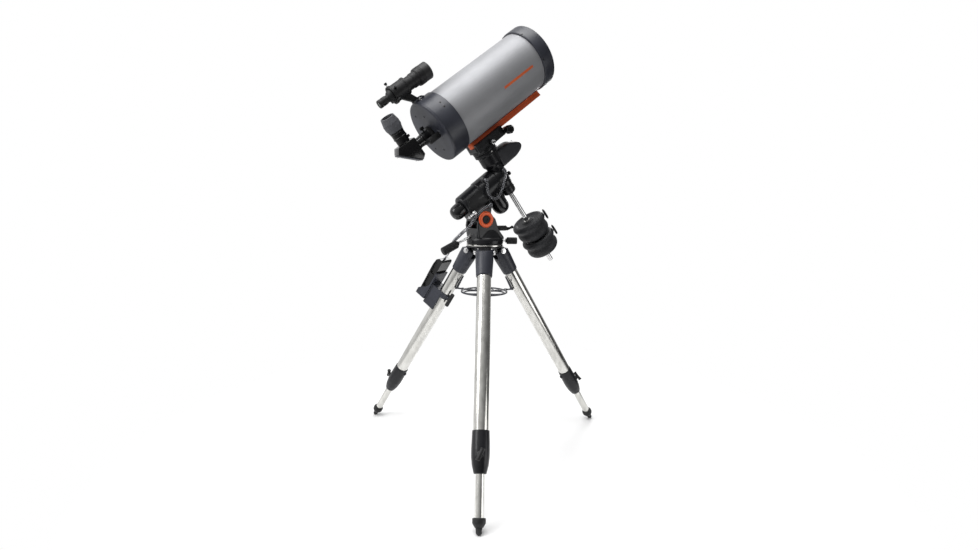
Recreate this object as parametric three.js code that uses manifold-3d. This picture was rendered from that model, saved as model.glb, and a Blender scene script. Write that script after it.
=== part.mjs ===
// A 180 mm Maksutov telescope on a motorised German equatorial mount and a steel tripod.
// Millimetres. +Z is up, +Y is north, the way the tube and the polar axis point.
import * as THREE from "three";
import { mergeVertices } from "three/addons/utils/BufferGeometryUtils.js";
import Module from "manifold-3d";

const wasm = await Module();
wasm.setup();

// ---------------------------------------------------------------- driving dimensions
const GAP = 0.3; // between pieces that touch
const WIDE = 24; // sides of the optical tube
const FINE = 20; // sides of a large round
const LEG = 16; // sides of the leg tubes
const PLAIN = 14; // sides of a middling round
const KNOB = 12; // sides of a knob
const SMALL = 8; // sides of a small round

// Tripod: each leg folds about a bolt under the hub and is described from that bolt,
// z up along the leg, y outwards, x along the bolt.
const LEG_SPREAD = 32.7; // degrees from vertical
const LEG_BEARINGS = { front: 120, left: -120, north: 0 }; // degrees clockwise from +Y
const LEG_LENGTH = 933; // bolt to foot tip
const HINGE_RADIUS = 63.5;
const HINGE_Z = 784.7;
const LEG_TUBE_R = 25.4;
const EXTENSION_R = 14.25;
const CASTING_BOTTOM = -98;
const TUBE_TOP = -42;
const TUBE_END = -686;
const COLLAR_TOP = -633;
const COLLAR_BOTTOM = -763;
const CLAMP_AT = -708; // the leg clamp's screw
const CLAMP_TURN = 65; // degrees that its wing is turned from square to the leg
const EXTENSION_TOP = -350;
const FOOT_CAP_TOP = -885;
const FOOT_CAP_BOTTOM = -913;
const FOOT_R = 9.5;
const HUB_TOP = 812;
const HUB_R = 69.5;
const LUG_HALF = 16.5;
const TRAY_BOTTOM = 625;
const TRAY_THICK = 6;
const TRAY_R = 90;
const ROD_BOTTOM = 524;
const ROD_R = 5;

// Mount: the head tilts about the latitude pivot. In its frame x is east, y is along the polar
// axis, z is square to it. The polar axis is POLAR_HEIGHT above the pivot, and the declination
// axis crosses it at DEC_AT.
const LATITUDE = 37.41; // degrees
const PIVOT_Y = -26;
const PIVOT_Z = 906;
const POLAR_HEIGHT = 75;
const DEC_AT = 167;
const POLAR_REAR = -33;
const POLAR_STEP = 50;
const POLAR_FRONT = DEC_AT - 32.3;
const POLAR_R = 46;
const SHAFT_R = 16;
const SHAFT_BORE = 16.8;
const YOKE_INSIDE = 38;
const YOKE_OUTSIDE = 50;
const MOTOR_AT = 103; // the right ascension motor along the polar axis
const DEC_PORT_AT = 88; // the cord's port along the polar axis
const DEC_PORT_HEIGHT = 113;

// Declination assembly, from the crossing of the axes: y along the polar axis, z along the
// declination axis, up through the saddle.
const DEC_TOP = 112;
const DEC_BOTTOM = -78;
const SADDLE_REAR = -45;
const SADDLE_FRONT = 93;
const SADDLE_FLOOR = 146.7;
const WEIGHT_SHAFT_R = 9.5;
const WEIGHT_SHAFT_END = -415;
const WEIGHT_R = 69;
const WEIGHT_TALL = 77;
const WEIGHT_TOPS = { upper: -210, lower: -288 };
const WEIGHT_SCREW_TURN = -25; // degrees from the polar direction

// Tube, from the middle of the rear cell's face: y forward along the tube, z away from the mount.
const TUBE_BACK = -140; // the rear face behind the declination axis
const TUBE_LIFT = 279; // the tube's axis above the polar axis
const CELL_R = 114;
const CELL_LONG = 73;
const TUBE_R = 110;
const RING_R = 116;
const RING_REAR = 464.5;
const RING_FRONT = 514.5;
const BAR_REAR = 93;
const BAR_FRONT = 453;
const BAR_BOTTOM = -132;
const BAR_HALF = 22;
const LENS_CURVE = 200; // radius of both faces of the corrector
const LENS_R = 94;
const FOCUS_X = 55;
const FOCUS_Z = -9;
const FINDER_LIFT = 174;
const EYE_AT = -104; // the eyepiece's axis behind the rear face

// ---------------------------------------------------------------- geometry helpers
const radians = THREE.MathUtils.degToRad;
const cosine = (degrees) => Math.cos(radians(degrees));
const sine = (degrees) => Math.sin(radians(degrees));

// A closed geometry as a solid: shared corners merged, flat slivers dropped, faces turned out.
function solid(geometry) {
  const bare = new THREE.BufferGeometry();
  bare.setAttribute("position", geometry.getAttribute("position"));
  bare.setIndex(geometry.getIndex());
  const merged = mergeVertices(bare, 1e-4);
  const faces = [];
  const index = merged.getIndex().array;
  for (let i = 0; i < index.length; i += 3) {
    const [a, b, c] = index.subarray(i, i + 3);
    if (a !== b && b !== c && c !== a) faces.push([a, b, c]);
  }
  const made = (list) =>
    new wasm.Manifold(
      new wasm.Mesh({
        numProp: 3,
        vertProperties: merged.getAttribute("position").array,
        triVerts: new Uint32Array(list.flat()),
      }),
    );
  const first = made(faces);
  return first.volume() > 0 ? first : made(faces.map(([a, b, c]) => [a, c, b]));
}

const join = (first, ...others) => others.reduce((whole, one) => whole.add(one), first);
const cut = (first, ...others) => others.reduce((whole, one) => whole.subtract(one), first);

function geometryOf(shape) {
  const mesh = shape.getMesh();
  const corners = new Float32Array(mesh.numVert * 3);
  for (let i = 0; i < mesh.numVert; i += 1) {
    const from = i * mesh.numProp;
    corners.set(mesh.vertProperties.subarray(from, from + 3), i * 3);
  }
  const geometry = new THREE.BufferGeometry();
  geometry.setAttribute("position", new THREE.BufferAttribute(corners, 3));
  geometry.setIndex(new THREE.BufferAttribute(mesh.triVerts, 1));
  geometry.computeVertexNormals();
  return geometry;
}

// Moves a geometry so that its own z lies along the axis named.
const ALONG = {
  x: new THREE.Matrix4().makeBasis(
    new THREE.Vector3(0, 1, 0),
    new THREE.Vector3(0, 0, 1),
    new THREE.Vector3(1, 0, 0),
  ),
  y: new THREE.Matrix4().makeBasis(
    new THREE.Vector3(0, 0, 1),
    new THREE.Vector3(1, 0, 0),
    new THREE.Vector3(0, 1, 0),
  ),
  z: new THREE.Matrix4(),
};

// A profile of [radius, height] points turned about an axis. It starts and ends on the axis, or
// is closed by its first point.
function turned(profile, axis = "z", sides = PLAIN) {
  const closed = profile[0][0] > 0 ? [...profile, profile[0]] : profile;
  const points = closed.map(([radius, height]) => new THREE.Vector2(radius, height));
  return solid(new THREE.LatheGeometry(points, sides).rotateX(Math.PI / 2).applyMatrix4(ALONG[axis]));
}

const rod = (radius, low, high, axis = "z", sides = SMALL) =>
  turned([[0, low], [radius, low], [radius, high], [0, high]], axis, sides);

const pipe = (inner, outer, low, high, axis = "z", sides = PLAIN) =>
  turned([[inner, low], [outer, low], [outer, high], [inner, high]], axis, sides);

// A box from its two opposite corners.
function block([x0, y0, z0], [x1, y1, z1]) {
  const box = new THREE.BoxGeometry(x1 - x0, y1 - y0, z1 - z0);
  return solid(box.translate((x0 + x1) / 2, (y0 + y1) / 2, (z0 + z1) / 2));
}

// An outline of [y, z] points made thick along x, from low to high.
function plate(outline, low, high) {
  const shape = new THREE.Shape(outline.map(([y, z]) => new THREE.Vector2(y, z)));
  const made = new THREE.ExtrudeGeometry(shape, { depth: high - low, bevelEnabled: false });
  return solid(made.translate(0, 0, low).applyMatrix4(ALONG.x));
}

// Points on an arc about [y, z], from one angle to another in degrees.
function arc([y, z], radius, from, to, steps) {
  const points = [];
  for (let i = 0; i <= steps; i += 1) {
    const angle = from + ((to - from) * i) / steps;
    points.push([y + radius * cosine(angle), z + radius * sine(angle)]);
  }
  return points;
}

// A knob with bevelled ends, turned about an axis.
function knob(radius, low, high, axis) {
  const bevel = radius * 0.15;
  return turned(
    [
      [0, low],
      [radius - bevel, low],
      [radius, low + bevel],
      [radius, high - bevel],
      [radius - bevel, high],
      [0, high],
    ],
    axis,
    KNOB,
  );
}

const moved = (shape, x, y, z) => shape.translate([x, y, z]);
const spun = (shape, x, y, z) => shape.rotate([x, y, z]);

// ---------------------------------------------------------------- materials
const finish = (color, roughness, metalness) => () =>
  new THREE.MeshStandardMaterial({ color, roughness, metalness });
const charcoal = finish(0x3a3f4a, 0.5, 0.2);
const crinkle = finish(0x34373b, 0.8, 0.1);
const black = finish(0x151618, 0.45, 0.1);
const rubber = finish(0x26282c, 0.85, 0);
const steel = finish(0xc9c7c0, 0.28, 1);
const silver = finish(0xa9abaf, 0.4, 0.6);
const orange = finish(0xd6461a, 0.45, 0.4);
const glass = finish(0x8fb6a8, 0.05, 0);
const mirror = finish(0xe4e8ea, 0.05, 1);

function add(parent, name, shape, material) {
  const mesh = new THREE.Mesh(geometryOf(shape), material());
  mesh.name = name;
  parent.add(mesh);
}

// ---------------------------------------------------------------- tripod
function hingeBolt() {
  const shank = rod(ROD_R, -35, 35, "x");
  const heads = [-1, 1].map((side) => {
    const faces = side < 0 ? [-39, -33.4] : [33.4, 39];
    return rod(8.5, faces[0], faces[1], "x", 6);
  });
  return join(shank, ...heads);
}

function hub() {
  const disc = turned(
    [
      [5.6, 770],
      [22, 770],
      [25, 794],
      [62, 800],
      [66, 800],
      [67, 806],
      [HUB_R, 806.5],
      [HUB_R, 811],
      [HUB_R - 1, HUB_TOP],
      [5.6, HUB_TOP],
    ],
    "z",
    FINE,
  );
  const ears = Object.values(LEG_BEARINGS).map((bearing) => {
    const outline = [
      [HINGE_RADIUS - 16, 801],
      ...arc([HINGE_RADIUS, HINGE_Z], 16, 180, 360, 8),
      [HINGE_RADIUS + 12, 801],
    ];
    const lug = join(plate(outline, -LUG_HALF, LUG_HALF), moved(hingeBolt(), 0, HINGE_RADIUS, HINGE_Z));
    return spun(lug, 0, 0, -bearing);
  });
  return join(disc, ...ears);
}

// A point at a radius and height of the tripod, in the frame of a leg.
function onLeg([radius, height]) {
  const out = radius - HINGE_RADIUS;
  const up = height - HINGE_Z;
  return [
    out * cosine(LEG_SPREAD) + up * sine(LEG_SPREAD),
    up * cosine(LEG_SPREAD) - out * sine(LEG_SPREAD),
  ];
}

function legCasting() {
  const sleeve = turned(
    [
      [0, -40],
      [LEG_TUBE_R + 0.4, -40],
      [LEG_TUBE_R + 0.4, CASTING_BOTTOM],
      [27.5, CASTING_BOTTOM],
      [28.5, CASTING_BOTTOM + 1.5],
      [33, -30],
      [33, 30],
      [0, 30],
    ],
    "z",
    LEG,
  );
  const underHub = [
    [71.3, 840],
    [71.3, 797.7],
    [HINGE_RADIUS, 797.7],
    ...arc([HINGE_RADIUS, HINGE_Z], 13, 110, 180, 4),
    [28, 764],
    [-10, 790],
    [-10, 840],
  ].map(onLeg);
  const above = [[60, 840], [60, 794], [140, 794], [140, 840]].map(onLeg);
  const slot = block([-LUG_HALF - 0.6, -45, -20], [LUG_HALF + 0.6, 22, 40]);
  return cut(
    sleeve,
    plate(underHub, -40, 40),
    plate(above, -40, 40),
    slot,
    rod(ROD_R + 0.6, -40, 40, "x"),
  );
}

// The upper tube with its moulded collar, which holds the clamp screw's boss.
function legTube() {
  const wall = turned(
    [
      [23.2, TUBE_TOP],
      [23.2, TUBE_END],
      [EXTENSION_R + 0.45, TUBE_END - 3],
      [EXTENSION_R + 0.45, COLLAR_BOTTOM],
      [20, COLLAR_BOTTOM],
      [29.5, -712],
      [29.5, -680],
      [27.5, COLLAR_TOP],
      [LEG_TUBE_R, COLLAR_TOP],
      [LEG_TUBE_R, TUBE_TOP],
    ],
    "z",
    LEG,
  );
  const boss = moved(rod(9, 24, 35, "y"), 0, 0, CLAMP_AT);
  return cut(join(wall, boss), moved(rod(4.3, 20, 40, "y"), 0, 0, CLAMP_AT));
}

function legClamp() {
  const screw = rod(3.8, 21, 42, "y");
  const wing = plate([[36, -7], [46, -6], [48, 0], [46, 6], [36, 7]], -20, 20);
  return moved(join(screw, spun(wing, 0, CLAMP_TURN, 0)), 0, 0, CLAMP_AT);
}

// The sliding lower tube with its cap and a rubber tip cut flat where it meets the ground.
function legExtension() {
  const tipCentre = -LEG_LENGTH + FOOT_R;
  const tip = arc([0, tipCentre], FOOT_R, -90, 0, 6);
  const tube = turned(
    [
      ...tip,
      [FOOT_R, FOOT_CAP_BOTTOM],
      [19, FOOT_CAP_BOTTOM],
      [20.5, FOOT_CAP_BOTTOM + 2],
      [20.5, FOOT_CAP_TOP - 2],
      [19, FOOT_CAP_TOP],
      [EXTENSION_R, FOOT_CAP_TOP],
      [EXTENSION_R, EXTENSION_TOP],
      [EXTENSION_R - 2, EXTENSION_TOP],
      [EXTENSION_R - 2, FOOT_CAP_TOP + 5],
      [0, FOOT_CAP_TOP + 5],
    ],
    "z",
    LEG,
  );
  const [outward, along] = [sine(LEG_SPREAD), cosine(LEG_SPREAD)];
  const drop = FOOT_R - 1.2;
  const sole = spun(block([-30, -30, -30], [30, 30, 0]), -LEG_SPREAD, 0, 0);
  return cut(tube, moved(sole, 0, -drop * outward, tipCentre - drop * along));
}

function tripod() {
  const group = new THREE.Group();
  add(group, "tripod_hub", hub(), charcoal);

  const mountingKnob = knob(20, 744, 762, "z");
  const rodShape = join(rod(ROD_R, ROD_BOTTOM, HUB_TOP + 10), mountingKnob);
  add(group, "centre_rod", rodShape, steel);

  add(group, "accessory_tray", tray(), charcoal);
  const trayKnob = cut(
    join(knob(22, 602, 614, "z"), rod(11, 612, TRAY_BOTTOM - 5 - GAP)),
    rod(ROD_R + 0.5, 590, 640),
  );
  add(group, "tray_knob", trayKnob, black);

  for (const [side, bearing] of Object.entries(LEG_BEARINGS)) {
    const leg = new THREE.Group();
    leg.rotation.set(radians(LEG_SPREAD), 0, radians(-bearing), "ZYX");
    leg.position.set(HINGE_RADIUS * sine(bearing), HINGE_RADIUS * cosine(bearing), HINGE_Z);
    add(leg, `leg_casting_${side}`, legCasting(), charcoal);
    add(leg, `leg_tube_${side}`, legTube(), steel);
    add(leg, `leg_extension_${side}`, legExtension(), steel);
    add(leg, `leg_clamp_${side}`, legClamp(), black);
    if (side === "left") addController(leg);
    group.add(leg);
  }
  return group;
}

// A ring with three loops for eyepieces, and three arms whose ends turn up along the legs.
function tray() {
  const top = TRAY_BOTTOM + TRAY_THICK;
  const ring = pipe(TRAY_R - 7, TRAY_R, TRAY_BOTTOM, top, "z", FINE);
  const boss = pipe(ROD_R + 0.6, 16, TRAY_BOTTOM - 5, top + 4);
  const pieces = [];
  for (const bearing of Object.values(LEG_BEARINGS)) {
    const loop = moved(pipe(33, 38, TRAY_BOTTOM, top, "z", KNOB), 0, -47, 0);
    const arm = block([-4.5, 12, TRAY_BOTTOM], [4.5, 126, top]);
    const [foot, upper] = [[130, 628], [96, 681]];
    const lie = [upper[0] - foot[0], upper[1] - foot[1]];
    const thick = [-lie[1] / 63, lie[0] / 63].map((part) => part * 3.5);
    const upturned = plate(
      [foot, upper, [upper[0] + thick[0], upper[1] + thick[1]], [foot[0] + thick[0], foot[1] + thick[1]]],
      -4,
      4,
    );
    const corner = plate([[120, TRAY_BOTTOM], [131, TRAY_BOTTOM], [130.4, 629], [120, top]], -4.5, 4.5);
    pieces.push(spun(join(loop, arm, upturned, corner), 0, 0, -bearing));
  }
  return cut(join(ring, boss, ...pieces), rod(ROD_R + 0.6, 600, 650));
}

// ---------------------------------------------------------------- hand controller, on the left leg
const HAND_BOTTOM = -278;
const HAND_TOP = -102;
const HAND_NEAR = 62;
const HAND_FAR = 96;
const HAND_HALF = 34;
const CRADLE_KNOB_Z = -220;
const CRADLE_KNOB_TURN = -20; // degrees round the leg from its inner side

function handset() {
  const outline = [
    [HAND_NEAR, HAND_BOTTOM + 4],
    [HAND_NEAR + 4, HAND_BOTTOM],
    [HAND_FAR - 8, HAND_BOTTOM],
    [HAND_FAR - 2, HAND_BOTTOM + 6],
    [HAND_FAR, HAND_TOP - 30],
    [HAND_FAR - 6, HAND_TOP - 6],
    [HAND_FAR - 14, HAND_TOP],
    [HAND_NEAR + 4, HAND_TOP],
    [HAND_NEAR, HAND_TOP - 4],
  ];
  return plate(outline, -HAND_HALF, HAND_HALF);
}

function cradle() {
  const [near, low] = [HAND_NEAR - 0.6, HAND_BOTTOM - 0.6];
  const wide = HAND_HALF + 0.6;
  const back = block([-wide - 4, near - 7, low - 4], [wide + 4, near, HAND_BOTTOM + 120]);
  const floor = block([-wide - 4, near - 1, low - 4], [wide + 4, HAND_FAR + 4.6, low]);
  const walls = [-1, 1].map((side) => {
    const [inner, outer] = side < 0 ? [-wide - 4, -wide] : [wide, wide + 4];
    return plate(
      [
        [near - 1, low - 4],
        [HAND_FAR + 4.6, low - 4],
        [HAND_FAR + 4.6, low + 22],
        [near + 16, low + 40],
        [near + 14, HAND_BOTTOM + 112],
        [near - 1, HAND_BOTTOM + 120],
      ],
      inner,
      outer,
    );
  });
  const lip = block([-wide - 4, HAND_FAR + 0.6, low - 4], [wide + 4, HAND_FAR + 4.6, low + 20]);
  const saddleBlock = block([-30, 0, -298], [30, near - 6, -208]);
  const strap = moved(pipe(LEG_TUBE_R + 0.4, LEG_TUBE_R + 3, -12, 12, "z", LEG), 0, 0, CRADLE_KNOB_Z);
  const boss = onCradleKnob(rod(8, -32, -26, "y"));
  return cut(
    join(back, floor, ...walls, lip, saddleBlock, strap, boss),
    rod(LEG_TUBE_R + 0.4, -310, -200, "z", LEG),
    onCradleKnob(rod(3.4, -40, -20, "y")),
  );
}

const onCradleKnob = (shape) => moved(spun(shape, 0, 0, CRADLE_KNOB_TURN), 0, 0, CRADLE_KNOB_Z);

function cradleKnob() {
  const grip = moved(rod(8, -29, 29, "z"), 0, -41, 0);
  return onCradleKnob(join(grip, rod(3, -42, -27, "y")));
}

function addController(leg) {
  add(leg, "hand_controller", handset(), black);
  add(leg, "controller_cradle", cradle(), charcoal);
  add(leg, "cradle_knob", cradleKnob(), black);
}

// ---------------------------------------------------------------- azimuth yoke
const LATITUDE_BOLT_TILT = 25.5; // degrees, its handle end down
const LATITUDE_BOLT = [-93, 827]; // a point on its axis
const AZIMUTH_BOLT_BEARING = 28;
const AZIMUTH_BOLT_Z = 825;

function yoke() {
  const base = turned(
    [
      [ROD_R + 0.6, HUB_TOP + 0.4],
      [67, HUB_TOP + 0.4],
      [69, 817],
      [69, 829],
      [64, 837],
      [ROD_R + 0.6, 837],
    ],
    "z",
    FINE,
  );
  const cheek = [
    [60, 831],
    [31, 868],
    [16, 908],
    ...arc([PIVOT_Y, PIVOT_Z], 30, 40, 150, 8),
    [-60, 880],
    [-62, 831],
  ];
  const cheeks = [-1, 1].map((side) => {
    const [low, high] = side < 0 ? [-YOKE_OUTSIDE, -YOKE_INSIDE] : [YOKE_INSIDE, YOKE_OUTSIDE];
    const reach = cheek.map(([y, z]) => [z < 850 ? y * 0.77 : y, z]);
    return plate(reach, low, high);
  });
  const south = block([-YOKE_INSIDE - 1, -58, 830], [YOKE_INSIDE + 1, -47, 858]);
  const north = block([-YOKE_INSIDE - 1, 36, 830], [YOKE_INSIDE + 1, 48, 846]);
  const handle = spun(rod(4.5, -6, 30, "x"), 0, -20, 8);
  const northBolt = join(
    rod(5, 25, 54, "y"),
    knob(10, 50, 93, "y"),
    rod(4, 90, 104, "y"),
    moved(handle, 0, 101, -4),
  );
  const northBridge = block([-YOKE_INSIDE - 1, 18, 862], [YOKE_INSIDE + 1, 30, 880]);
  const pivotPin = moved(rod(9, -45, 45, "x", PLAIN), 0, PIVOT_Y, PIVOT_Z);
  const whole = join(
    base,
    ...cheeks,
    south,
    north,
    northBridge,
    moved(northBolt, 0, 0, 870),
    pivotPin,
  );
  const boltHole = moved(
    spun(rod(5.7, -80, 80, "y"), LATITUDE_BOLT_TILT, 0, 0),
    0,
    LATITUDE_BOLT[0],
    LATITUDE_BOLT[1],
  );
  const azimuthHoles = [-1, 1].map((side) =>
    spun(moved(rod(4.4, 44, 90, "y"), 0, 0, AZIMUTH_BOLT_Z), 0, 0, -side * AZIMUTH_BOLT_BEARING),
  );
  return cut(whole, boltHole, ...azimuthHoles);
}

function latitudeCap() {
  return turned(
    [
      [0, 0],
      [30, 0],
      [30, 4],
      [27, 7],
      [16, 7],
      [13.5, 3],
      [0, 3],
    ],
    "x",
    FINE,
  );
}

function latitudeBolt() {
  const chrome = rod(5, -40, 48, "y");
  const grip = knob(15.5, -92, -26, "y");
  return join(chrome, grip);
}

function azimuthBolt() {
  return join(rod(4, 47, 90, "y"), knob(13, 81, 122, "y"));
}

// ---------------------------------------------------------------- polar (right ascension) head
function polarHousing() {
  const barrel = moved(
    turned(
      [
        [SHAFT_BORE, POLAR_REAR],
        [38, POLAR_REAR],
        [42, POLAR_REAR + 5],
        [43, POLAR_STEP],
        [POLAR_R, POLAR_STEP + 4],
        [POLAR_R, POLAR_FRONT - 3],
        [POLAR_R - 2, POLAR_FRONT],
        [SHAFT_BORE, POLAR_FRONT],
      ],
      "y",
      FINE,
    ),
    0,
    0,
    POLAR_HEIGHT,
  );
  const belly = plate(
    [
      ...arc([0, 0], 28, 180, 315, 8),
      [44, 6],
      [66, 30],
      [66, POLAR_HEIGHT],
      [POLAR_REAR, POLAR_HEIGHT],
      [POLAR_REAR + 1, 36],
    ],
    -YOKE_INSIDE + 0.6,
    YOKE_INSIDE - 0.6,
  );
  const handPort = block([YOKE_INSIDE - 2, 38, 22], [YOKE_INSIDE + 6, 60, 40]);
  const decPort = moved(rod(8, 12, 36, "x"), 0, DEC_PORT_AT, DEC_PORT_HEIGHT);
  return cut(
    join(barrel, belly, handPort, decPort),
    moved(rod(SHAFT_BORE, -60, 200, "y", PLAIN), 0, 0, POLAR_HEIGHT),
    rod(9.4, -60, 60, "x", PLAIN),
  );
}

function polarMotorCover() {
  const pod = moved(
    turned(
      [
        [0, -46],
        [12, -45],
        [22, -40],
        [29, -31],
        [32.5, -18],
        [33, 20],
        [33, 60],
        [0, 60],
      ],
      "z",
      FINE,
    ),
    0,
    MOTOR_AT,
    0,
  );
  return cut(pod, moved(rod(POLAR_R + 0.4, 0, 200, "y", FINE), 0, 0, POLAR_HEIGHT));
}

// A round-nosed cup that closes the polar axis at the rear.
function polarCover() {
  return turned(
    [
      [0, -82],
      [13, -80.5],
      [22, -76],
      [27, -67],
      [28.5, -54],
      [28.5, POLAR_REAR - GAP],
      [25, POLAR_REAR - GAP],
      [25, -54],
      [20, -73],
      [0, -79],
    ],
    "y",
    PLAIN,
  );
}

// A lock lever: a hub with a short arm, turning about its own y.
function lockLever() {
  const hubShape = rod(8, 0, 11, "y");
  const arm = block([-4, 4, -32], [4, 9, 0]);
  return join(hubShape, arm);
}

// ---------------------------------------------------------------- declination assembly
function polarShaft() {
  return turned(
    [
      [0, -20.5],
      [SHAFT_R, -20.5],
      [SHAFT_R, -198],
      [11, -198],
      [11, -26],
      [0, -26],
    ],
    "y",
    PLAIN,
  );
}

function decHousing() {
  const body = turned(
    [
      [0, DEC_BOTTOM],
      [20, DEC_BOTTOM],
      [25.5, -73],
      [27.5, -62],
      [27.5, -46],
      [26, -45],
      [26, -42],
      [28, -40],
      [31.5, 0],
      [31.8, 48],
      [39, 60],
      [39, 98],
      [46, 101],
      [46, DEC_TOP],
      [0, DEC_TOP],
    ],
    "z",
    FINE,
  );
  const neck = rod(38, -31.9, 0, "y", FINE);
  const port = moved(rod(8, 24, 44, "x"), 0, 2, 24);
  return cut(
    join(body, neck, port),
    rod(SHAFT_BORE, -28, 150, "z", PLAIN),
    rod(WEIGHT_SHAFT_R + 0.4, -100, -20, "z", PLAIN),
    rod(SHAFT_BORE, -60, -20.1, "y", PLAIN),
  );
}

function decMotorCover() {
  const side = [
    [20, 20],
    [100, 22],
    [130, 32],
    [141, 45],
    [141, 58],
    [131, 69],
    [88, 93],
    [20, 95],
  ];
  const middle = plate(side, -22, 22);
  const flank = side.map(([y, z]) => [y > 40 ? 40 + (y - 40) * 0.94 : y, 58 + (z - 58) * 0.82]);
  return cut(join(middle, plate(flank, -31, 31)), rod(39.4, 0, 120, "z", FINE));
}

function weightShaft() {
  return turned(
    [
      [0, WEIGHT_SHAFT_END],
      [WEIGHT_SHAFT_R - 1.5, WEIGHT_SHAFT_END],
      [WEIGHT_SHAFT_R, WEIGHT_SHAFT_END + 1.5],
      [WEIGHT_SHAFT_R, -29],
      [0, -29],
    ],
    "z",
    PLAIN,
  );
}

// A bowl-shaped weight with a dished top, bored for the shaft and for its screw.
function weight() {
  const shape = turned(
    [
      [WEIGHT_SHAFT_R + 0.4, -1],
      [22, 0],
      [28, -3],
      [46, -3],
      [52, 0],
      [62, -3],
      [68, -12],
      [WEIGHT_R, -24],
      [67, -40],
      [62, -58],
      [56, -WEIGHT_TALL + 1],
      [WEIGHT_SHAFT_R + 0.4, -WEIGHT_TALL + 1],
    ],
    "z",
    FINE,
  );
  return cut(shape, moved(spun(rod(4.4, 0, 80, "y"), 0, 0, WEIGHT_SCREW_TURN), 0, 0, -20));
}

function weightScrew() {
  const screw = join(rod(4, 11, 76, "y"), knob(22, 72, 82, "y"));
  return spun(screw, 0, 0, WEIGHT_SCREW_TURN);
}

// The saddle and its hollow shaft. The slot's sides lean in over the bar.
function saddle() {
  const disc = turned(
    [
      [0, DEC_TOP + 0.4],
      [45, DEC_TOP + 0.4],
      [46, DEC_TOP + 2],
      [46, 124],
      [0, 124],
    ],
    "z",
    FINE,
  );
  const shaft = rod(SHAFT_R, -20, DEC_TOP + 3, "z", PLAIN);
  const body = plate(
    [
      [SADDLE_REAR, SADDLE_FLOOR],
      [SADDLE_REAR, 131],
      [-34, 118],
      [64, 118],
      [SADDLE_FRONT - 3, 133],
      [SADDLE_FRONT, SADDLE_FLOOR],
    ],
    -30,
    30,
  );
  const lug = block([16, 80, 122], [38, KNOB_PLACES.front.y + 12, 141]);
  const jaws = [-1, 1].map((side) => {
    const wall = block([-10, SADDLE_REAR + 4, 121], [8, SADDLE_FRONT - 4, 158]);
    return moved(wall, side < 0 ? -30 : 32, 0, 0);
  });
  const wide = BAR_HALF + 0.5;
  const narrow = wide - 5;
  const slotShape = new THREE.Shape(
    [
      [-wide, SADDLE_FLOOR],
      [wide, SADDLE_FLOOR],
      [wide, SADDLE_FLOOR + 3],
      [narrow, 162],
      [-narrow, 162],
      [-wide, SADDLE_FLOOR + 3],
    ].map(([x, z]) => new THREE.Vector2(x, z)),
  );
  const slot = new THREE.ExtrudeGeometry(slotShape, { depth: 260, bevelEnabled: false });
  slot.rotateX(Math.PI / 2).translate(0, 160, 0);
  return cut(
    join(disc, shaft, body, lug, ...jaws),
    solid(slot),
    rod(9, -30, 100, "z", SMALL),
    moved(rod(4.4, 20, 60, "x"), 0, KNOB_PLACES.front.y, KNOB_PLACES.front.z),
    moved(rod(3.4, 20, 60, "x"), 0, KNOB_PLACES.rear.y, KNOB_PLACES.rear.z),
  );
}

const KNOB_PLACES = {
  front: { y: 100, z: 131, radius: 16, screw: 4, low: 47, high: 70 },
  rear: { y: 21, z: 131, radius: 9, screw: 3, low: 46, high: 58 },
};

function saddleKnob({ y, z, radius, screw, low, high }) {
  const shape = join(rod(screw, 22, low + 2, "x"), knob(radius, low, high, "x"));
  return moved(shape, 0, y, z);
}

// ---------------------------------------------------------------- optical tube
function rearCell() {
  const cell = turned(
    [
      [20.4, 0],
      [CELL_R - 5, 0],
      [CELL_R - 1.5, 2],
      [CELL_R, 6],
      [CELL_R, CELL_LONG],
      [TUBE_R - 3, CELL_LONG],
      [TUBE_R - 3, CELL_LONG + 12],
      [TUBE_R - 6, CELL_LONG + 12],
      [TUBE_R - 6, 8],
      [20.4, 8],
    ],
    "y",
    WIDE,
  );
  const shoe = block([-17, 6, CELL_R - 3], [17, 44, CELL_R + 5]);
  const focusBoss = moved(rod(15, -2, 4, "y", PLAIN), FOCUS_X, 0, FOCUS_Z);
  return cut(
    join(cell, shoe, focusBoss),
    moved(rod(4.5, -10, 20, "y"), FOCUS_X, 0, FOCUS_Z),
    plate([[2, CELL_R + 1], [50, CELL_R + 1], [50, CELL_R + 6], [2, CELL_R + 6]], -9, 9),
  );
}

function mainTube() {
  const [low, high] = [CELL_LONG + GAP, RING_REAR - GAP];
  return pipe(TUBE_R - 2.5, TUBE_R, low, high, "y", WIDE);
}

function frontCell() {
  return turned(
    [
      [TUBE_R - 3, RING_REAR - 12],
      [TUBE_R - 3, RING_REAR],
      [RING_R - 2, RING_REAR],
      [RING_R, RING_REAR + 2],
      [RING_R, RING_FRONT - 3],
      [RING_R - 3, RING_FRONT],
      [105, RING_FRONT],
      [92, 502],
      [92, 500.5],
      [LENS_R + 0.4, 500.5],
      [LENS_R + 0.4, 481],
      [91, 481],
      [91, 476],
      [TUBE_R - 6, 472],
      [TUBE_R - 6, RING_REAR - 12],
    ],
    "y",
    WIDE,
  );
}

// The meniscus: both faces curve the same way, hollow towards the sky.
function corrector() {
  const sag = (radius) => LENS_CURVE - Math.sqrt(LENS_CURVE ** 2 - radius ** 2);
  const face = (middle) =>
    [0, 0.25, 0.5, 0.75, 1].map((share) => [LENS_R * share, middle + sag(LENS_R * share)]);
  const front = 500 - sag(LENS_R);
  return turned([...face(front - 16), ...face(front).reverse()], "y", WIDE);
}

function secondaryBaffle() {
  const back = 500 - 16 - (LENS_CURVE - Math.sqrt(LENS_CURVE ** 2 - LENS_R ** 2));
  return turned(
    [
      [0, back - 3],
      [18, back - 3],
      [23, back - 38],
      [24.5, back - 38],
      [19.5, back - 0.4],
      [0, back - 0.4],
    ],
    "y",
    PLAIN,
  );
}

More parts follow.
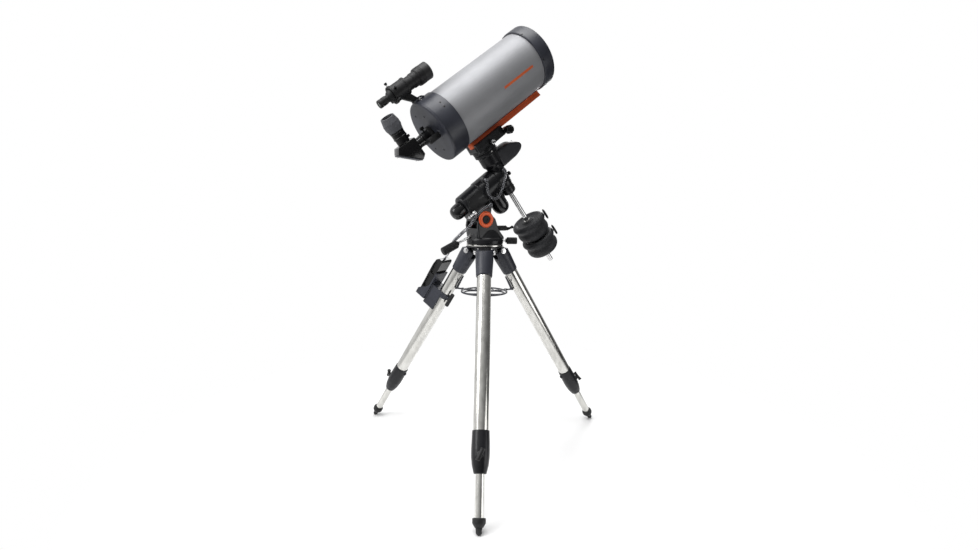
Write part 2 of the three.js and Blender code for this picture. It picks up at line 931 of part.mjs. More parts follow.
function baffleTube() {
  return turned(
    [
      [18.5, 8.4],
      [30, 8.4],
      [30, 14],
      [20, 14],
      [20, 120],
      [15, 300],
      [13.8, 300],
      [18.5, 120],
    ],
    "y",
    PLAIN,
  );
}

// A concave mirror on the sleeve that slides along the baffle tube, with a nut for the focuser.
function primaryMirror() {
  const sag = (radius) => radius ** 2 / 1800;
  const disc = turned(
    [
      [20.5, 22],
      [28, 22],
      [28, 26],
      [96, 26],
      [96, 46 + sag(96)],
      [70, 46 + sag(70)],
      [45, 46 + sag(45)],
      [24, 46 + sag(24)],
      [24, 62],
      [20.5, 62],
    ],
    "y",
    FINE,
  );
  return cut(disc, moved(rod(4.7, 10, 41, "y"), FOCUS_X, 0, FOCUS_Z));
}

function focusKnob() {
  const shape = join(rod(4, -10, 30, "y"), knob(11, -48, -2.6, "y"));
  return moved(shape, FOCUS_X, 0, FOCUS_Z);
}

// The dovetail bar: widest at the bottom, with a rounded rear end.
function dovetailBar() {
  const section = new THREE.Shape(
    [
      [-BAR_HALF, BAR_BOTTOM],
      [BAR_HALF, BAR_BOTTOM],
      [BAR_HALF, BAR_BOTTOM + 3],
      [17, BAR_BOTTOM + 15],
      [17, -111.8],
      [-17, -111.8],
      [-17, BAR_BOTTOM + 15],
      [-BAR_HALF, BAR_BOTTOM + 3],
    ].map(([x, z]) => new THREE.Vector2(x, z)),
  );
  const bar = new THREE.ExtrudeGeometry(section, { depth: BAR_FRONT - BAR_REAR, bevelEnabled: false });
  bar.rotateX(Math.PI / 2).translate(0, BAR_FRONT, 0);
  const end = moved(pipe(BAR_HALF, 60, -160, -90, "z", PLAIN), 0, BAR_REAR + BAR_HALF, 0);
  const rearOnly = block([-70, BAR_REAR - 50, -170], [70, BAR_REAR + BAR_HALF, -80]);
  return cut(solid(bar), end.intersect(rearOnly), rod(TUBE_R + 0.4, 0, 500, "y", WIDE));
}

// ---------------------------------------------------------------- viewing end
function visualBack() {
  return cut(
    turned(
      [
        [16.4, -42],
        [21, -42],
        [22, -40],
        [22, -12],
        [26, -10],
        [26, -GAP],
        [20, -GAP],
        [20, 8],
        [16.4, 8],
      ],
      "y",
      PLAIN,
    ),
    moved(rod(2.9, 10, 40, "z", 12), 0, -22, 0),
  );
}

function visualBackScrew() {
  return moved(join(rod(2.5, 16.6, 28, "z", 12), knob(8, 25, 38, "z")), 0, -22, 0);
}

// The diagonal: nosepiece, prism housing with a thick back, and the eyepiece holder.
function diagonal() {
  const body = plate(
    [
      [-152, 12],
      [-86, -50],
      [-70, -38],
      [-70, 28],
      [-139, 30],
    ],
    -22,
    22,
  );
  const nose = join(rod(15.8, -72, -14, "y", PLAIN), rod(17.5, -71, -54, "y", PLAIN));
  const holder = moved(rod(23, 26, 50, "z", PLAIN), 0, EYE_AT, 0);
  const screw = join(
    moved(rod(2.5, 20, 29, "y", 8), 0, EYE_AT, 41),
    moved(rod(5, 28, 36, "y", 12), 0, EYE_AT, 41),
  );
  const path = rod(14, EYE_AT, -10, "y", PLAIN);
  const eyeBore = moved(rod(16.4, 14, 60, "z", PLAIN), 0, EYE_AT, 0);
  const light = moved(rod(13.5, -4, 20, "z", PLAIN), 0, EYE_AT, 0);
  const pocket = moved(spun(block([-16, -19, -3.4], [16, 19, 8]), -45, 0, 0), 0, EYE_AT, 0);
  return cut(join(body, nose, holder, screw), path, eyeBore, light, pocket);
}

function diagonalMirror() {
  return moved(spun(block([-15.6, -18.6, -3], [15.6, 18.6, 0]), -45, 0, 0), 0, EYE_AT, 0);
}

function eyepiece() {
  return moved(
    turned(
      [
        [12, 15],
        [15.8, 15],
        [15.8, 50.4],
        [25, 50.4],
        [25, 76],
        [20, 76],
        [20, 116],
        [13, 116],
        [13, 64],
        [12, 64],
      ],
      "z",
      PLAIN,
    ),
    0,
    EYE_AT,
    0,
  );
}

function eyecup() {
  return moved(
    turned(
      [
        [20.5, 76.4],
        [26.5, 76.4],
        [30, 97],
        [30, 104],
        [22.5, 133],
        [19.5, 133],
        [14, 117],
        [20.5, 116.4],
      ],
      "z",
      PLAIN,
    ),
    0,
    EYE_AT,
    0,
  );
}

// ---------------------------------------------------------------- finder
function finderTube() {
  return turned(
    [
      [6, -103],
      [13, -103],
      [14, -101],
      [14, -62],
      [17, -60],
      [23, -50],
      [23, 40],
      [25, 42],
      [25, 60],
      [30, 63],
      [30, 114],
      [27.4, 114],
      [27.4, 95],
      [24, 95],
      [20.5, 60],
      [20.5, -46],
      [6, -56],
    ],
    "y",
    PLAIN,
  );
}

function finderLens() {
  return turned(
    [
      [0, 95.4],
      [27, 95.4],
      [27, 98],
      [14, 100.6],
      [0, 101.5],
    ],
    "y",
    PLAIN,
  );
}

// A sleeve round the finder with three aiming screws, on a stem that stands in the cell's shoe.
function finderBracket() {
  const sleeve = turned(
    [
      [25.6, -48],
      [31, -48],
      [31, -38],
      [28.5, -36],
      [28.5, 6],
      [30, 8],
      [30, 15],
      [25.6, 15],
    ],
    "y",
    PLAIN,
  );
  const screws = [90, 210, 330].map((turn) =>
    spun(join(moved(rod(2, 27, 42, "x", 8), 0, -43, 0), moved(rod(5, 36, 44, "x", 10), 0, -43, 0)), 0, -turn, 0),
  );
  const foot = CELL_R + 1.3 - FINDER_LIFT;
  const stem = plate([[8, foot], [42, foot], [42, foot + 6], [24, foot + 8], [10, -27], [-24, -27]], -8.6, 8.6);
  return join(sleeve, ...screws, stem);
}

function finder() {
  const group = new THREE.Group();
  group.position.z = FINDER_LIFT;
  add(group, "finder_tube", finderTube(), black);
  add(group, "finder_lens", finderLens(), glass);
  add(group, "finder_bracket", finderBracket(), black);
  return group;
}

// ---------------------------------------------------------------- assembly
function opticalTube() {
  const group = new THREE.Group();
  group.position.set(0, TUBE_BACK, TUBE_LIFT);
  add(group, "rear_cell", rearCell(), charcoal);
  add(group, "main_tube", mainTube(), silver);
  add(group, "front_cell", frontCell(), charcoal);
  add(group, "corrector_lens", corrector(), glass);
  add(group, "secondary_baffle", secondaryBaffle(), black);
  add(group, "baffle_tube", baffleTube(), black);
  add(group, "primary_mirror", primaryMirror(), mirror);
  add(group, "focus_knob", focusKnob(), rubber);
  add(group, "dovetail_bar", dovetailBar(), orange);
  add(group, "visual_back", visualBack(), black);
  add(group, "visual_back_screw", visualBackScrew(), black);
  add(group, "diagonal_body", diagonal(), black);
  add(group, "diagonal_mirror", diagonalMirror(), mirror);
  add(group, "eyepiece", eyepiece(), black);
  add(group, "eyecup", eyecup(), rubber);
  group.add(finder());
  return group;
}

function declination() {
  const group = new THREE.Group();
  group.position.set(0, DEC_AT, POLAR_HEIGHT);
  add(group, "polar_shaft", polarShaft(), steel);
  add(group, "dec_housing", decHousing(), charcoal);
  add(group, "dec_motor_cover", decMotorCover(), charcoal);
  add(group, "dec_lock_lever", moved(spun(lockLever(), 0, 70, 0), 8, 31.6, -12), black);
  add(group, "counterweight_shaft", weightShaft(), steel);
  for (const [place, top] of Object.entries(WEIGHT_TOPS)) {
    add(group, `counterweight_${place}`, moved(weight(), 0, 0, top), crinkle);
    add(group, `counterweight_screw_${place}`, moved(weightScrew(), 0, 0, top - 20), black);
  }
  add(group, "saddle", saddle(), black);
  for (const [place, sizes] of Object.entries(KNOB_PLACES)) {
    add(group, `saddle_knob_${place}`, saddleKnob(sizes), black);
  }
  group.add(opticalTube());
  return group;
}

function polarHead() {
  const group = new THREE.Group();
  group.position.set(0, PIVOT_Y, PIVOT_Z);
  group.rotation.x = radians(LATITUDE);
  add(group, "polar_housing", polarHousing(), charcoal);
  add(group, "polar_motor_cover", polarMotorCover(), black);
  add(group, "polar_cover", moved(polarCover(), 0, 0, POLAR_HEIGHT), black);
  const lever = spun(lockLever(), 0, -90, -90);
  add(group, "polar_lock_lever", moved(lever, YOKE_INSIDE - GAP, -20, 46), steel);
  group.add(declination());
  return group;
}

function azimuthHead() {
  const group = new THREE.Group();
  add(group, "azimuth_yoke", yoke(), charcoal);
  add(group, "latitude_cap", moved(latitudeCap(), YOKE_OUTSIDE + GAP, PIVOT_Y, PIVOT_Z), orange);
  const bolt = spun(latitudeBolt(), LATITUDE_BOLT_TILT, 0, 0);
  add(group, "latitude_bolt", moved(bolt, 0, LATITUDE_BOLT[0], LATITUDE_BOLT[1]), black);
  for (const [side, turn] of [["east", 1], ["west", -1]]) {
    const screw = spun(moved(azimuthBolt(), 0, 0, AZIMUTH_BOLT_Z), 0, 0, -turn * AZIMUTH_BOLT_BEARING);
    add(group, `azimuth_bolt_${side}`, screw, black);
  }
  return group;
}

// A curly cord as one fat tube of its outer diameter.
const CORD_R = 6.5;

function cord(route, steps) {
  const path = new THREE.CatmullRomCurve3(route.map(([x, y, z]) => new THREE.Vector3(x, y, z)));
  const round = new THREE.Shape();
  round.absarc(0, 0, CORD_R, 0, 2 * Math.PI, false);
  const tube = { extrudePath: path, steps, bevelEnabled: false, curveSegments: 4 };
  return solid(new THREE.ExtrudeGeometry(round, tube));
}

const DEC_CORD_ROUTE = [
  [36.6, -24.7, 1049.3],
  [47, -24.7, 1049.3],
  [56, -26, 1035],
  [57, -22, 1003],
  [57, -2, 982],
  [57, 20, 988],
  [57, 36, 1014],
  [60, 43, 1048],
  [63, 47, 1072],
  [54, 48.1, 1087.3],
  [44.6, 48.1, 1087.3],
];
const HAND_CORD_ROUTE = [
  [44.6, -6, 960.4],
  [54, -6, 960.4],
  [64, -18, 957],
  [66, -44, 946],
  [68, -73, 920],
  [60, -100, 880],
  [36, -110, 862],
  [0, -112, 842],
  [-50, -106, 820],
  [-108, -88, 792],
  [-144.5, -83.4, 768],
  [-159.4, -92, 741.6],
];

const telescope = new THREE.Group();
telescope.add(tripod(), azimuthHead(), polarHead());

// The object stands on z = 0 with its box centred, and its free cords follow it.
telescope.updateMatrixWorld(true);
const bounds = new THREE.Box3().setFromObject(telescope, true);
const middle = bounds.getCenter(new THREE.Vector3());
add(telescope, "dec_cord", cord(DEC_CORD_ROUTE, 14), rubber);
add(telescope, "hand_cord", cord(HAND_CORD_ROUTE, 22), rubber);
telescope.position.set(-middle.x, -middle.y, -bounds.min.z);

export default telescope;
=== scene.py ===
import math

import bmesh
import bpy
from mathutils import Matrix, Vector


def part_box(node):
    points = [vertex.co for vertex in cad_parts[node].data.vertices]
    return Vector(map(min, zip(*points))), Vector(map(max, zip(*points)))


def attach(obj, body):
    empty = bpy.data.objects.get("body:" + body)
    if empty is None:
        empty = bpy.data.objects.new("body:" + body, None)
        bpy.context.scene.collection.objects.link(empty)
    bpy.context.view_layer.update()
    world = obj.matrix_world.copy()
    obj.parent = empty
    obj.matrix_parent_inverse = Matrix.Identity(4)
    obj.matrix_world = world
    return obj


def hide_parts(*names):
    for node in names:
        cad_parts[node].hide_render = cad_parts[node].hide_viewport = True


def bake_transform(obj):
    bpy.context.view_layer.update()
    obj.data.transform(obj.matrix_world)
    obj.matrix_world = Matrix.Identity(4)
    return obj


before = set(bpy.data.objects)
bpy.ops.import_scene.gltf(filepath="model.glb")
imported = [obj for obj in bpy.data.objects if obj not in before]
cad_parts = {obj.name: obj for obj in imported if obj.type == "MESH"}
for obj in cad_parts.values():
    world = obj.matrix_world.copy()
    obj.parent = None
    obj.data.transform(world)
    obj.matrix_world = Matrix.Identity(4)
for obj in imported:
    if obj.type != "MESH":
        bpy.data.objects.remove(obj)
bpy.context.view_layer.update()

MM = 0.001
WIDE = 160  # sides of the optical tube
ROUND = 96  # sides of other rounds
SMALL = 40  # sides of screws and rods

# ---------------------------------------------------------------- frames
LATITUDE = 37.41  # degrees
LEG_SPREAD = 32.7
LEG_BEARINGS = {"front": 120, "left": -120, "north": 0}
HINGE_RADIUS, HINGE_Z = 63.5, 784.7
ROD_TOP = 822  # height of the centre rod's top above the ground


def shift(x, y, z):
    return Matrix.Translation((x, y, z))


def turn(degrees, axis):
    return Matrix.Rotation(math.radians(degrees), 4, axis)


def leg_frame(bearing):
    angle = math.radians(bearing)
    hinge = shift(HINGE_RADIUS * math.sin(angle), HINGE_RADIUS * math.cos(angle), HINGE_Z)
    return hinge @ turn(-bearing, "Z") @ turn(LEG_SPREAD, "X")


rod_low, rod_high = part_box("centre_rod")
ORIGIN = ((rod_low.x + rod_high.x) / 2, (rod_low.y + rod_high.y) / 2, rod_high.z - ROD_TOP * MM)
ROW = Matrix.Translation(ORIGIN) @ Matrix.Scale(MM, 4)
GROUND = Matrix.Identity(4)
PIVOT = shift(0, -26, 906)
POLAR = PIVOT @ turn(LATITUDE, "X")
DEC = POLAR @ shift(0, 167, 75)
TUBE = DEC @ shift(0, -140, 279)
FINDER = TUBE @ shift(0, 0, 174)


def row_point(point):
    return ROW @ Vector(point)


def linked(name, data):
    thing = bpy.data.objects.new(name, data)
    bpy.context.scene.collection.objects.link(thing)
    return thing


# ---------------------------------------------------------------- camera
CAMERA_AT = (1717.06, -974.42, 992.64)
CAMERA_BEARING = 59.91  # degrees, of the view direction from +Y towards -X
CAMERA_PITCH = -8.65
CAMERA_ROLL = 1.0
CAMERA_LENS = 19.21


def make_camera():
    bearing, pitch = math.radians(CAMERA_BEARING), math.radians(CAMERA_PITCH)
    forward = Vector((-math.sin(bearing) * math.cos(pitch), math.cos(bearing) * math.cos(pitch),
                      math.sin(pitch)))
    right = forward.cross(Vector((0, 0, 1))).normalized()
    up = right.cross(forward)
    roll = math.radians(CAMERA_ROLL)
    tilted_right = right * math.cos(roll) + up * math.sin(roll)
    tilted_up = up * math.cos(roll) - right * math.sin(roll)
    data = bpy.data.cameras.new("camera")
    data.lens = CAMERA_LENS
    data.sensor_width = 36
    data.clip_start = 0.01
    camera = linked("camera", data)
    axes = Matrix((tilted_right, tilted_up, -forward)).transposed().to_4x4()
    camera.matrix_world = Matrix.Translation(row_point(CAMERA_AT)) @ axes
    bpy.context.scene.camera = camera


make_camera()


# ---------------------------------------------------------------- materials
LOOKS = {}
NOISE_ROUGHNESS = 0.6


class Nodes:
    """A node tree whose nodes are added by kind, with sockets linked or set."""

    def __init__(self, owner):
        owner.use_nodes = True
        self.tree = owner.node_tree

    def add(self, kind, settings=None, **sockets):
        node = self.tree.nodes.new(kind)
        for key, value in (settings or {}).items():
            setattr(node, key, value)
        self.fill(node, sockets)
        return node

    def put(self, socket, value):
        if isinstance(value, bpy.types.NodeSocket):
            self.tree.links.new(value, socket)
        else:
            socket.default_value = value

    def fill(self, node, sockets):
        """Sets or links the sockets, given by their names with _ for each space."""
        for key, value in sockets.items():
            self.put(node.inputs[key.replace("_", " ")], value)

    def ranged(self, value, low, high, start=0.3, end=0.7):
        node = self.add("ShaderNodeMapRange", Value=value, From_Min=start, From_Max=end, To_Min=low,
                        To_Max=high)
        return node.outputs[0]


class Look(Nodes):
    """A material made of nodes that work in the row frame."""

    def __init__(self, name):
        self.name = name
        self.material = bpy.data.materials.new(name)
        super().__init__(self.material)
        self.shader = self.tree.nodes["Principled BSDF"]
        self.place = self.add("ShaderNodeTexCoord").outputs["Object"]

    def finish(self, height, strength, distance, **sockets):
        """Sets the shader's sockets and its relief, and files the material under its name."""
        self.fill(self.shader, sockets)
        bump = self.add("ShaderNodeBump", Height=height, Strength=strength, Distance=distance)
        self.put(self.shader.inputs["Normal"], bump.outputs[0])
        LOOKS[self.name] = self.material

    def stretched(self, scale):
        return self.add("ShaderNodeMapping", Vector=self.place, Scale=scale).outputs[0]

    def noise(self, scale, detail=4.0, where=None):
        node = self.add("ShaderNodeTexNoise", Vector=where or self.place, Scale=scale, Detail=detail,
                        Roughness=NOISE_ROUGHNESS)
        return node.outputs[0]

    def cells(self, scale, feature="F1"):
        node = self.add("ShaderNodeTexVoronoi", {"feature": feature}, Vector=self.place, Scale=scale)
        return node.outputs["Distance"]

    def ramp(self, value, *stops):
        node = self.add("ShaderNodeValToRGB", Fac=value)
        colours = node.color_ramp
        while len(colours.elements) < len(stops):
            colours.elements.new(0.5)
        for element, (position, colour) in zip(colours.elements, stops):
            element.position = position
            element.color = colour
        return node.outputs[0]

    def mixed(self, share, first, second, blend="MIX"):
        node = self.add("ShaderNodeMix", {"data_type": "RGBA", "blend_type": blend})
        for index, value in ((0, share), (6, first), (7, second)):
            self.put(node.inputs[index], value)
        return node.outputs[2]

    def summed(self, first, second, weight):
        result = second
        for operation, value in (("MULTIPLY", weight), ("ADD", first)):
            node = self.add("ShaderNodeMath", {"operation": operation})
            self.put(node.inputs[0], result)
            self.put(node.inputs[1], value)
            result = node.outputs[0]
        return result

    def worn(self, colour, edge, amount):
        """Lightens the colour a little where the surface is sharply convex."""
        crest = self.add("ShaderNodeNewGeometry").outputs["Pointiness"]
        patchy = self.noise(160, 3)
        share = self.ranged(self.summed(crest, patchy, 0.06), 0, amount, 0.545, 0.62)
        return self.mixed(share, colour, edge)


GREEN_SHARE = 0.18  # how far green follows blue in a tinted grey


def grey(level, blue=1.0):
    green = 1 + GREEN_SHARE * (blue - 1)
    return (level, level * green, level * blue, 1)


def painted(name, dark, light, rough, grain, depth, edge=None, metal=0.0, coat=0.0, shine=0.5,
            spread=9.0):
    """Paint or plastic: drifting shades, fine grain in gloss and relief, worn edges."""
    look = Look(name)
    drift = look.noise(spread, 5)
    colour = look.ramp(drift, (0.36, dark), (0.64, light))
    speck = look.ramp(look.noise(grain * 2.3, 2), (0.42, grey(0.86)), (0.66, grey(1.14)))
    colour = look.mixed(0.55, colour, speck, "MULTIPLY")
    if edge:
        colour = look.worn(colour, edge, 0.35)
    fine = look.noise(grain, 3)
    smears = look.noise(spread * 4, 3)
    gloss = look.ranged(look.summed(fine, smears, 0.8), rough[0], rough[1], 0.6, 1.2)
    look.finish(fine, 0.5, depth, Base_Color=colour, Roughness=gloss, Metallic=metal,
                Coat_Weight=coat, Coat_Roughness=0.12, Specular_IOR_Level=shine)


def brushed(name, dark, light, rough, lines, relief=0.25):
    """Metal with fine lines along one axis of the row frame."""
    look = Look(name)
    streak = look.noise(60, 5, look.stretched(lines))
    cloud = look.noise(7, 4)
    colour = look.ramp(look.summed(streak, cloud, 0.7), (0.62, dark), (1.05, light))
    gloss = look.ranged(look.summed(streak, cloud, 0.8), rough[0], rough[1], 0.6, 1.2)
    look.finish(streak, relief, 0.00002, Base_Color=colour, Roughness=gloss, Metallic=1.0)


def tube_paint(name):
    """Silver-grey paint: fine flakes under a soft satin coat."""
    look = Look(name)
    flakes = look.cells(2600)
    colour = look.ramp(flakes, (0.1, grey(0.40, 1.06)), (0.8, grey(0.29, 1.05)))
    drift = look.ramp(look.noise(5, 3), (0.35, grey(0.93)), (0.65, grey(1.05)))
    colour = look.mixed(1.0, colour, drift, "MULTIPLY")
    gloss = look.ranged(look.summed(look.noise(1500, 2), look.noise(24, 3), 0.8), 0.46, 0.58, 0.6, 1.2)
    look.finish(look.noise(700, 2), 0.3, 0.00003, Base_Color=colour, Roughness=gloss, Metallic=0.35,
                Coat_Weight=0.12, Coat_Roughness=0.35)


def crinkled(name):
    """Cast iron under a thick crinkle enamel."""
    look = Look(name)
    folds = look.summed(look.cells(520, "SMOOTH_F1"), look.noise(900, 4), 0.7)
    colour = look.ramp(folds, (0.45, grey(0.014, 1.15)), (1.0, grey(0.030, 1.15)))
    drift = look.ramp(look.noise(16, 4), (0.35, grey(0.85)), (0.65, grey(1.12)))
    colour = look.mixed(1.0, colour, drift, "MULTIPLY")
    gloss = look.ranged(folds, 0.40, 0.56, 0.4, 1.1)
    look.finish(folds, 0.6, 0.0005, Base_Color=colour, Roughness=gloss, Specular_IOR_Level=0.3)


def glassy(name):
    """Coated optical glass with a trace of dust."""
    look = Look(name)
    dust = look.ranged(look.noise(420, 5), 0.02, 0.07, 0.62, 0.75)
    look.finish(look.noise(30, 2), 0.05, 0.00002, Base_Color=(0.965, 0.985, 0.975, 1), Roughness=dust,
                IOR=1.52, Transmission_Weight=1.0, Coat_Weight=0.4, Coat_Roughness=0.02,
                Coat_Tint=(0.86, 1.0, 0.92, 1))


def mirrored(name):
    look = Look(name)
    haze = look.noise(80, 4)
    colour = look.ramp(haze, (0.4, grey(0.86, 1.02)), (0.65, grey(0.93, 1.02)))
    look.finish(look.noise(300, 2), 0.05, 0.00001, Base_Color=colour, Metallic=1.0,
                Roughness=look.ranged(haze, 0.02, 0.06))


ORANGE_DARK, ORANGE_LIGHT = (0.72, 0.088, 0.014, 1), (0.86, 0.125, 0.022, 1)
ORANGE_EDGE = (0.80, 0.22, 0.08, 1)
painted("mount_paint", grey(0.0060, 1.3), grey(0.0105, 1.3), (0.24, 0.38), 1500, 0.00008,
        grey(0.045, 1.2), coat=0.12, shine=0.3)
painted("cell_paint", grey(0.024, 1.5), grey(0.036, 1.5), (0.32, 0.46), 1900, 0.00010, grey(0.075, 1.2))
painted("orange", ORANGE_DARK, ORANGE_LIGHT, (0.30, 0.44), 1700, 0.00006, ORANGE_EDGE, metal=0.25,
        coat=0.15)
painted("gloss_black", grey(0.0045, 1.15), grey(0.008, 1.15), (0.12, 0.22), 900, 0.00003, grey(0.03),
        coat=0.4, shine=0.3)
painted("cover_plastic", grey(0.014, 1.3), grey(0.021, 1.3), (0.26, 0.38), 1700, 0.00008, grey(0.05),
        coat=0.15, shine=0.35)
painted("matte_black", grey(0.008, 1.1), grey(0.014, 1.1), (0.40, 0.56), 2300, 0.00012, grey(0.04),
        shine=0.35)
painted("rubber", grey(0.012, 1.1), grey(0.020, 1.1), (0.6, 0.78), 3200, 0.00014, grey(0.04))
painted("cord_rubber", grey(0.18, 1.1), grey(0.28, 1.1), (0.12, 0.20), 2600, 0.00003, metal=0.75, coat=1.0)
painted("grey_rubber", grey(0.082, 1.15), grey(0.115, 1.15), (0.6, 0.78), 3000, 0.00016, grey(0.10))
painted("screen", (0.006, 0.016, 0.010, 1), (0.010, 0.024, 0.015, 1), (0.06, 0.14), 600, 0.00001, coat=0.8)
painted("black_aluminium", grey(0.010, 1.15), grey(0.017, 1.15), (0.26, 0.40), 2600, 0.00005, grey(0.10),
        metal=0.5)
brushed("steel", grey(0.56, 0.94), grey(0.74, 0.95), (0.14, 0.26), (1, 1, 0.04))
brushed("chrome", grey(0.66), grey(0.84), (0.06, 0.14), (0.3, 0.3, 1), 0.03)
tube_paint("tube_paint")
crinkled("weight_iron")
glassy("optical_glass")
mirrored("mirror")
SLOTS = {"chrome": "steel", "grey_rubber": "rubber", "cord_rubber": "rubber",
         "cover_plastic": "gloss_black", "screen": "optical_glass"}


# ---------------------------------------------------------------- shapes
ALONG = {
    "x": Matrix(((0, 0, 1, 0), (1, 0, 0, 0), (0, 1, 0, 0), (0, 0, 0, 1))),
    "y": Matrix(((0, 1, 0, 0), (0, 0, 1, 0), (1, 0, 0, 0), (0, 0, 0, 1))),
    "z": Matrix.Identity(4),
}


def mesh_from(points, faces, axis="z"):
    mesh = bpy.data.meshes.new("shape")
    mesh.from_pydata(points, [], faces)
    mesh.transform(ALONG[axis])
    work = bmesh.new()
    work.from_mesh(mesh)
    bmesh.ops.recalc_face_normals(work, faces=work.faces)
    work.to_mesh(mesh)
    work.free()
    return mesh


def rounded(points, radius, closed, steps=4):
    """The line with each of its corners turned into a short curve."""
    count = len(points)
    line = []
    for index, corner in enumerate(points):
        here = Vector(corner)
        before = Vector(points[index - 1]) - here
        after = Vector(points[(index + 1) % count]) - here
        at_end = not closed and index in (0, count - 1)
        if at_end or before.angle(after, math.pi) > math.radians(172):
            line.append(tuple(here))
            continue
        reach = min(radius, 0.45 * before.length, 0.45 * after.length)
        start, end = here + before.normalized() * reach, here + after.normalized() * reach
        for step in range(steps + 1):
            share = step / steps
            point = start * (1 - share) ** 2 + here * 2 * share * (1 - share) + end * share**2
            line.append(tuple(point))
    return line


def turned(profile, axis="z", fillet=0.8, sides=ROUND, groove=None):
    """A profile of (radius, height) turned about an axis. groove(angle, radius, height) sinks it."""
    closed = profile[0][0] > 0
    points, rings = [], []
    for radius, height in rounded(profile, fillet, closed):
        ring = []
        for index in range(1 if radius < 1e-6 else sides):
            angle = 2 * math.pi * index / sides
            reach = radius - (groove(angle, radius, height) if groove else 0)
            ring.append(len(points))
            points.append((reach * math.cos(angle), reach * math.sin(angle), height))
        rings.append(ring)
    faces = []
    for low, high in zip(rings, rings[1:] + (rings[:1] if closed else [])):
        for index in range(sides if len(low) + len(high) > 2 else 0):
            after = (index + 1) % sides
            if len(low) == 1:
                faces.append((low[0], high[after], high[index]))
            elif len(high) == 1:
                faces.append((low[index], low[after], high[0]))
            else:
                faces.append((low[index], low[after], high[after], high[index]))
    return mesh_from(points, faces, axis)


def rod(radius, low, high, axis="z", bevel=0.6, sides=SMALL):
    return turned([(0, low), (radius, low), (radius, high), (0, high)], axis, bevel, sides)


def bore(radius, low, high, axis="z", at=(0, 0, 0), sides=SMALL):
    """A plain rod, to be cut out of something."""
    return moved(rod(radius, low, high, axis, 0, sides), *at)


def pipe(inner, outer, low, high, axis="z", fillet=0.6, sides=ROUND):
    return turned([(inner, low), (outer, low), (outer, high), (inner, high)], axis, fillet, sides)


def modified(mesh, *modifiers):
    """The mesh with modifiers applied, each given as (type, settings)."""
    work = linked("work", mesh)
    for kind, settings in modifiers:
        modifier = work.modifiers.new(kind, kind)
        for key, value in settings.items():
            setattr(modifier, key, value)
    graph = bpy.context.evaluated_depsgraph_get()
    result = bpy.data.meshes.new_from_object(work.evaluated_get(graph))
    bpy.data.objects.remove(work)
    return result


def bevelled(mesh, width, segments=3):
    bevel = {"width": width, "segments": segments, "angle_limit": math.radians(40)}
    return modified(mesh, ("BEVEL", {"limit_method": "ANGLE", **bevel}))


def combined(base, adds=(), cuts=()):
    """The base with some meshes joined to it and others cut from it."""
    helpers, steps = [], []
    for operation, meshes in (("UNION", adds), ("DIFFERENCE", cuts)):
        for mesh in meshes:
            helpers.append(linked("helper", mesh))
            settings = {"operation": operation, "solver": "MANIFOLD", "object": helpers[-1]}
            steps.append(("BOOLEAN", settings))
    result = modified(base, *steps)
    for helper in helpers:
        bpy.data.objects.remove(helper)
    return result


def cast(base, adds=(), cuts=(), voxel=1.6, smooth=6):
    """A casting: its parts flow into each other and every edge is soft."""
    whole = combined(base, adds, cuts)
    return modified(whole, ("REMESH", {"mode": "VOXEL", "voxel_size": voxel}),
                    ("SMOOTH", {"factor": 0.5, "iterations": smooth}))


def plate(outline, low, high, corner=0.0, bevel=1.0):
    """An outline of (y, z) points made thick along x."""
    line = rounded(outline, corner, True) if corner else outline
    count = len(line)
    points = [(x, y, z) for x in (low, high) for y, z in line]
    faces = [tuple(range(count))[::-1], tuple(range(count, 2 * count))]
    for index in range(count):
        after = (index + 1) % count
        faces.append((index, after, after + count, index + count))
    mesh = mesh_from(points, faces)
    return bevelled(mesh, bevel) if bevel else mesh


def block(low, high, bevel=1.0):
    outline = [(low[1], low[2]), (high[1], low[2]), (high[1], high[2]), (low[1], high[2])]
    return plate(outline, low[0], high[0], 0, bevel)


def moved(mesh, x, y, z):
    mesh.transform(shift(x, y, z))
    return mesh


def spun(mesh, x, y, z):
    mesh.transform(turn(z, "Z") @ turn(y, "Y") @ turn(x, "X"))
    return mesh


def arc(centre, radius, start, end, steps=12):
    points = []
    for step in range(steps + 1):
        angle = math.radians(start + (end - start) * step / steps)
        points.append((centre[0] + radius * math.cos(angle), centre[1] + radius * math.sin(angle)))
    return points


def knob(radius, low, high, axis, ribs=16, depth=1.0, dish=0.6):
    """A grip with round ribs along its side and a shallow dished end."""
    edge = radius * 0.16

    def groove(angle, at, height):
        flute = 0.5 - 0.5 * math.cos(ribs * angle)
        return depth * flute**3 if at > radius - edge * 0.6 else 0

    profile = [(0, low), (radius - edge, low), (radius, low + edge), (radius, high - edge),
               (radius - edge, high), (radius * 0.62, high), (radius * 0.56, high - dish),
               (0, high - dish)]
    return turned(profile, axis, edge, ribs * 8, groove)


def screw_head(radius, high, axis="z", recess=0.45):
    """A domed screw head with a hexagonal socket."""
    dome = [(0, 0), (radius, 0), (radius, high * 0.55), (radius * 0.7, high), (0, high)]
    socket = turned([(0, high * 0.35), (radius * recess, high * 0.35), (radius * recess, high * 2),
                     (0, high * 2)], axis, 0, 6)
    return combined(turned(dome, axis, radius * 0.3, SMALL), cuts=[socket])


def both_ways(mesh, side):
    """The mesh as made towards +x, or turned half way round to point to -x."""
    return spun(mesh, 0, 180, 0) if side < 0 else mesh


def piece(name, mesh, place, body, look, replaces=(), sharp=36):
    """Puts a mesh in the row frame, with its look, on a body, or on none yet."""
    mesh.transform(ROW @ place)
    mesh.materials.clear()
    mesh.materials.append(LOOKS[look])
    mesh.shade_smooth()
    mesh.set_sharp_from_angle(angle=math.radians(sharp))
    thing = linked(name, mesh)
    SLOTS.get(look, look)
    if body:
        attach(thing, body)
    if replaces:
        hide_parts(*replaces)
    return thing


def placer(place, body):
    """A function that puts pieces at one place on one body."""
    def put(name, mesh, look, replaces=()):
        return piece(name, mesh, place, body, look, replaces)

    return put


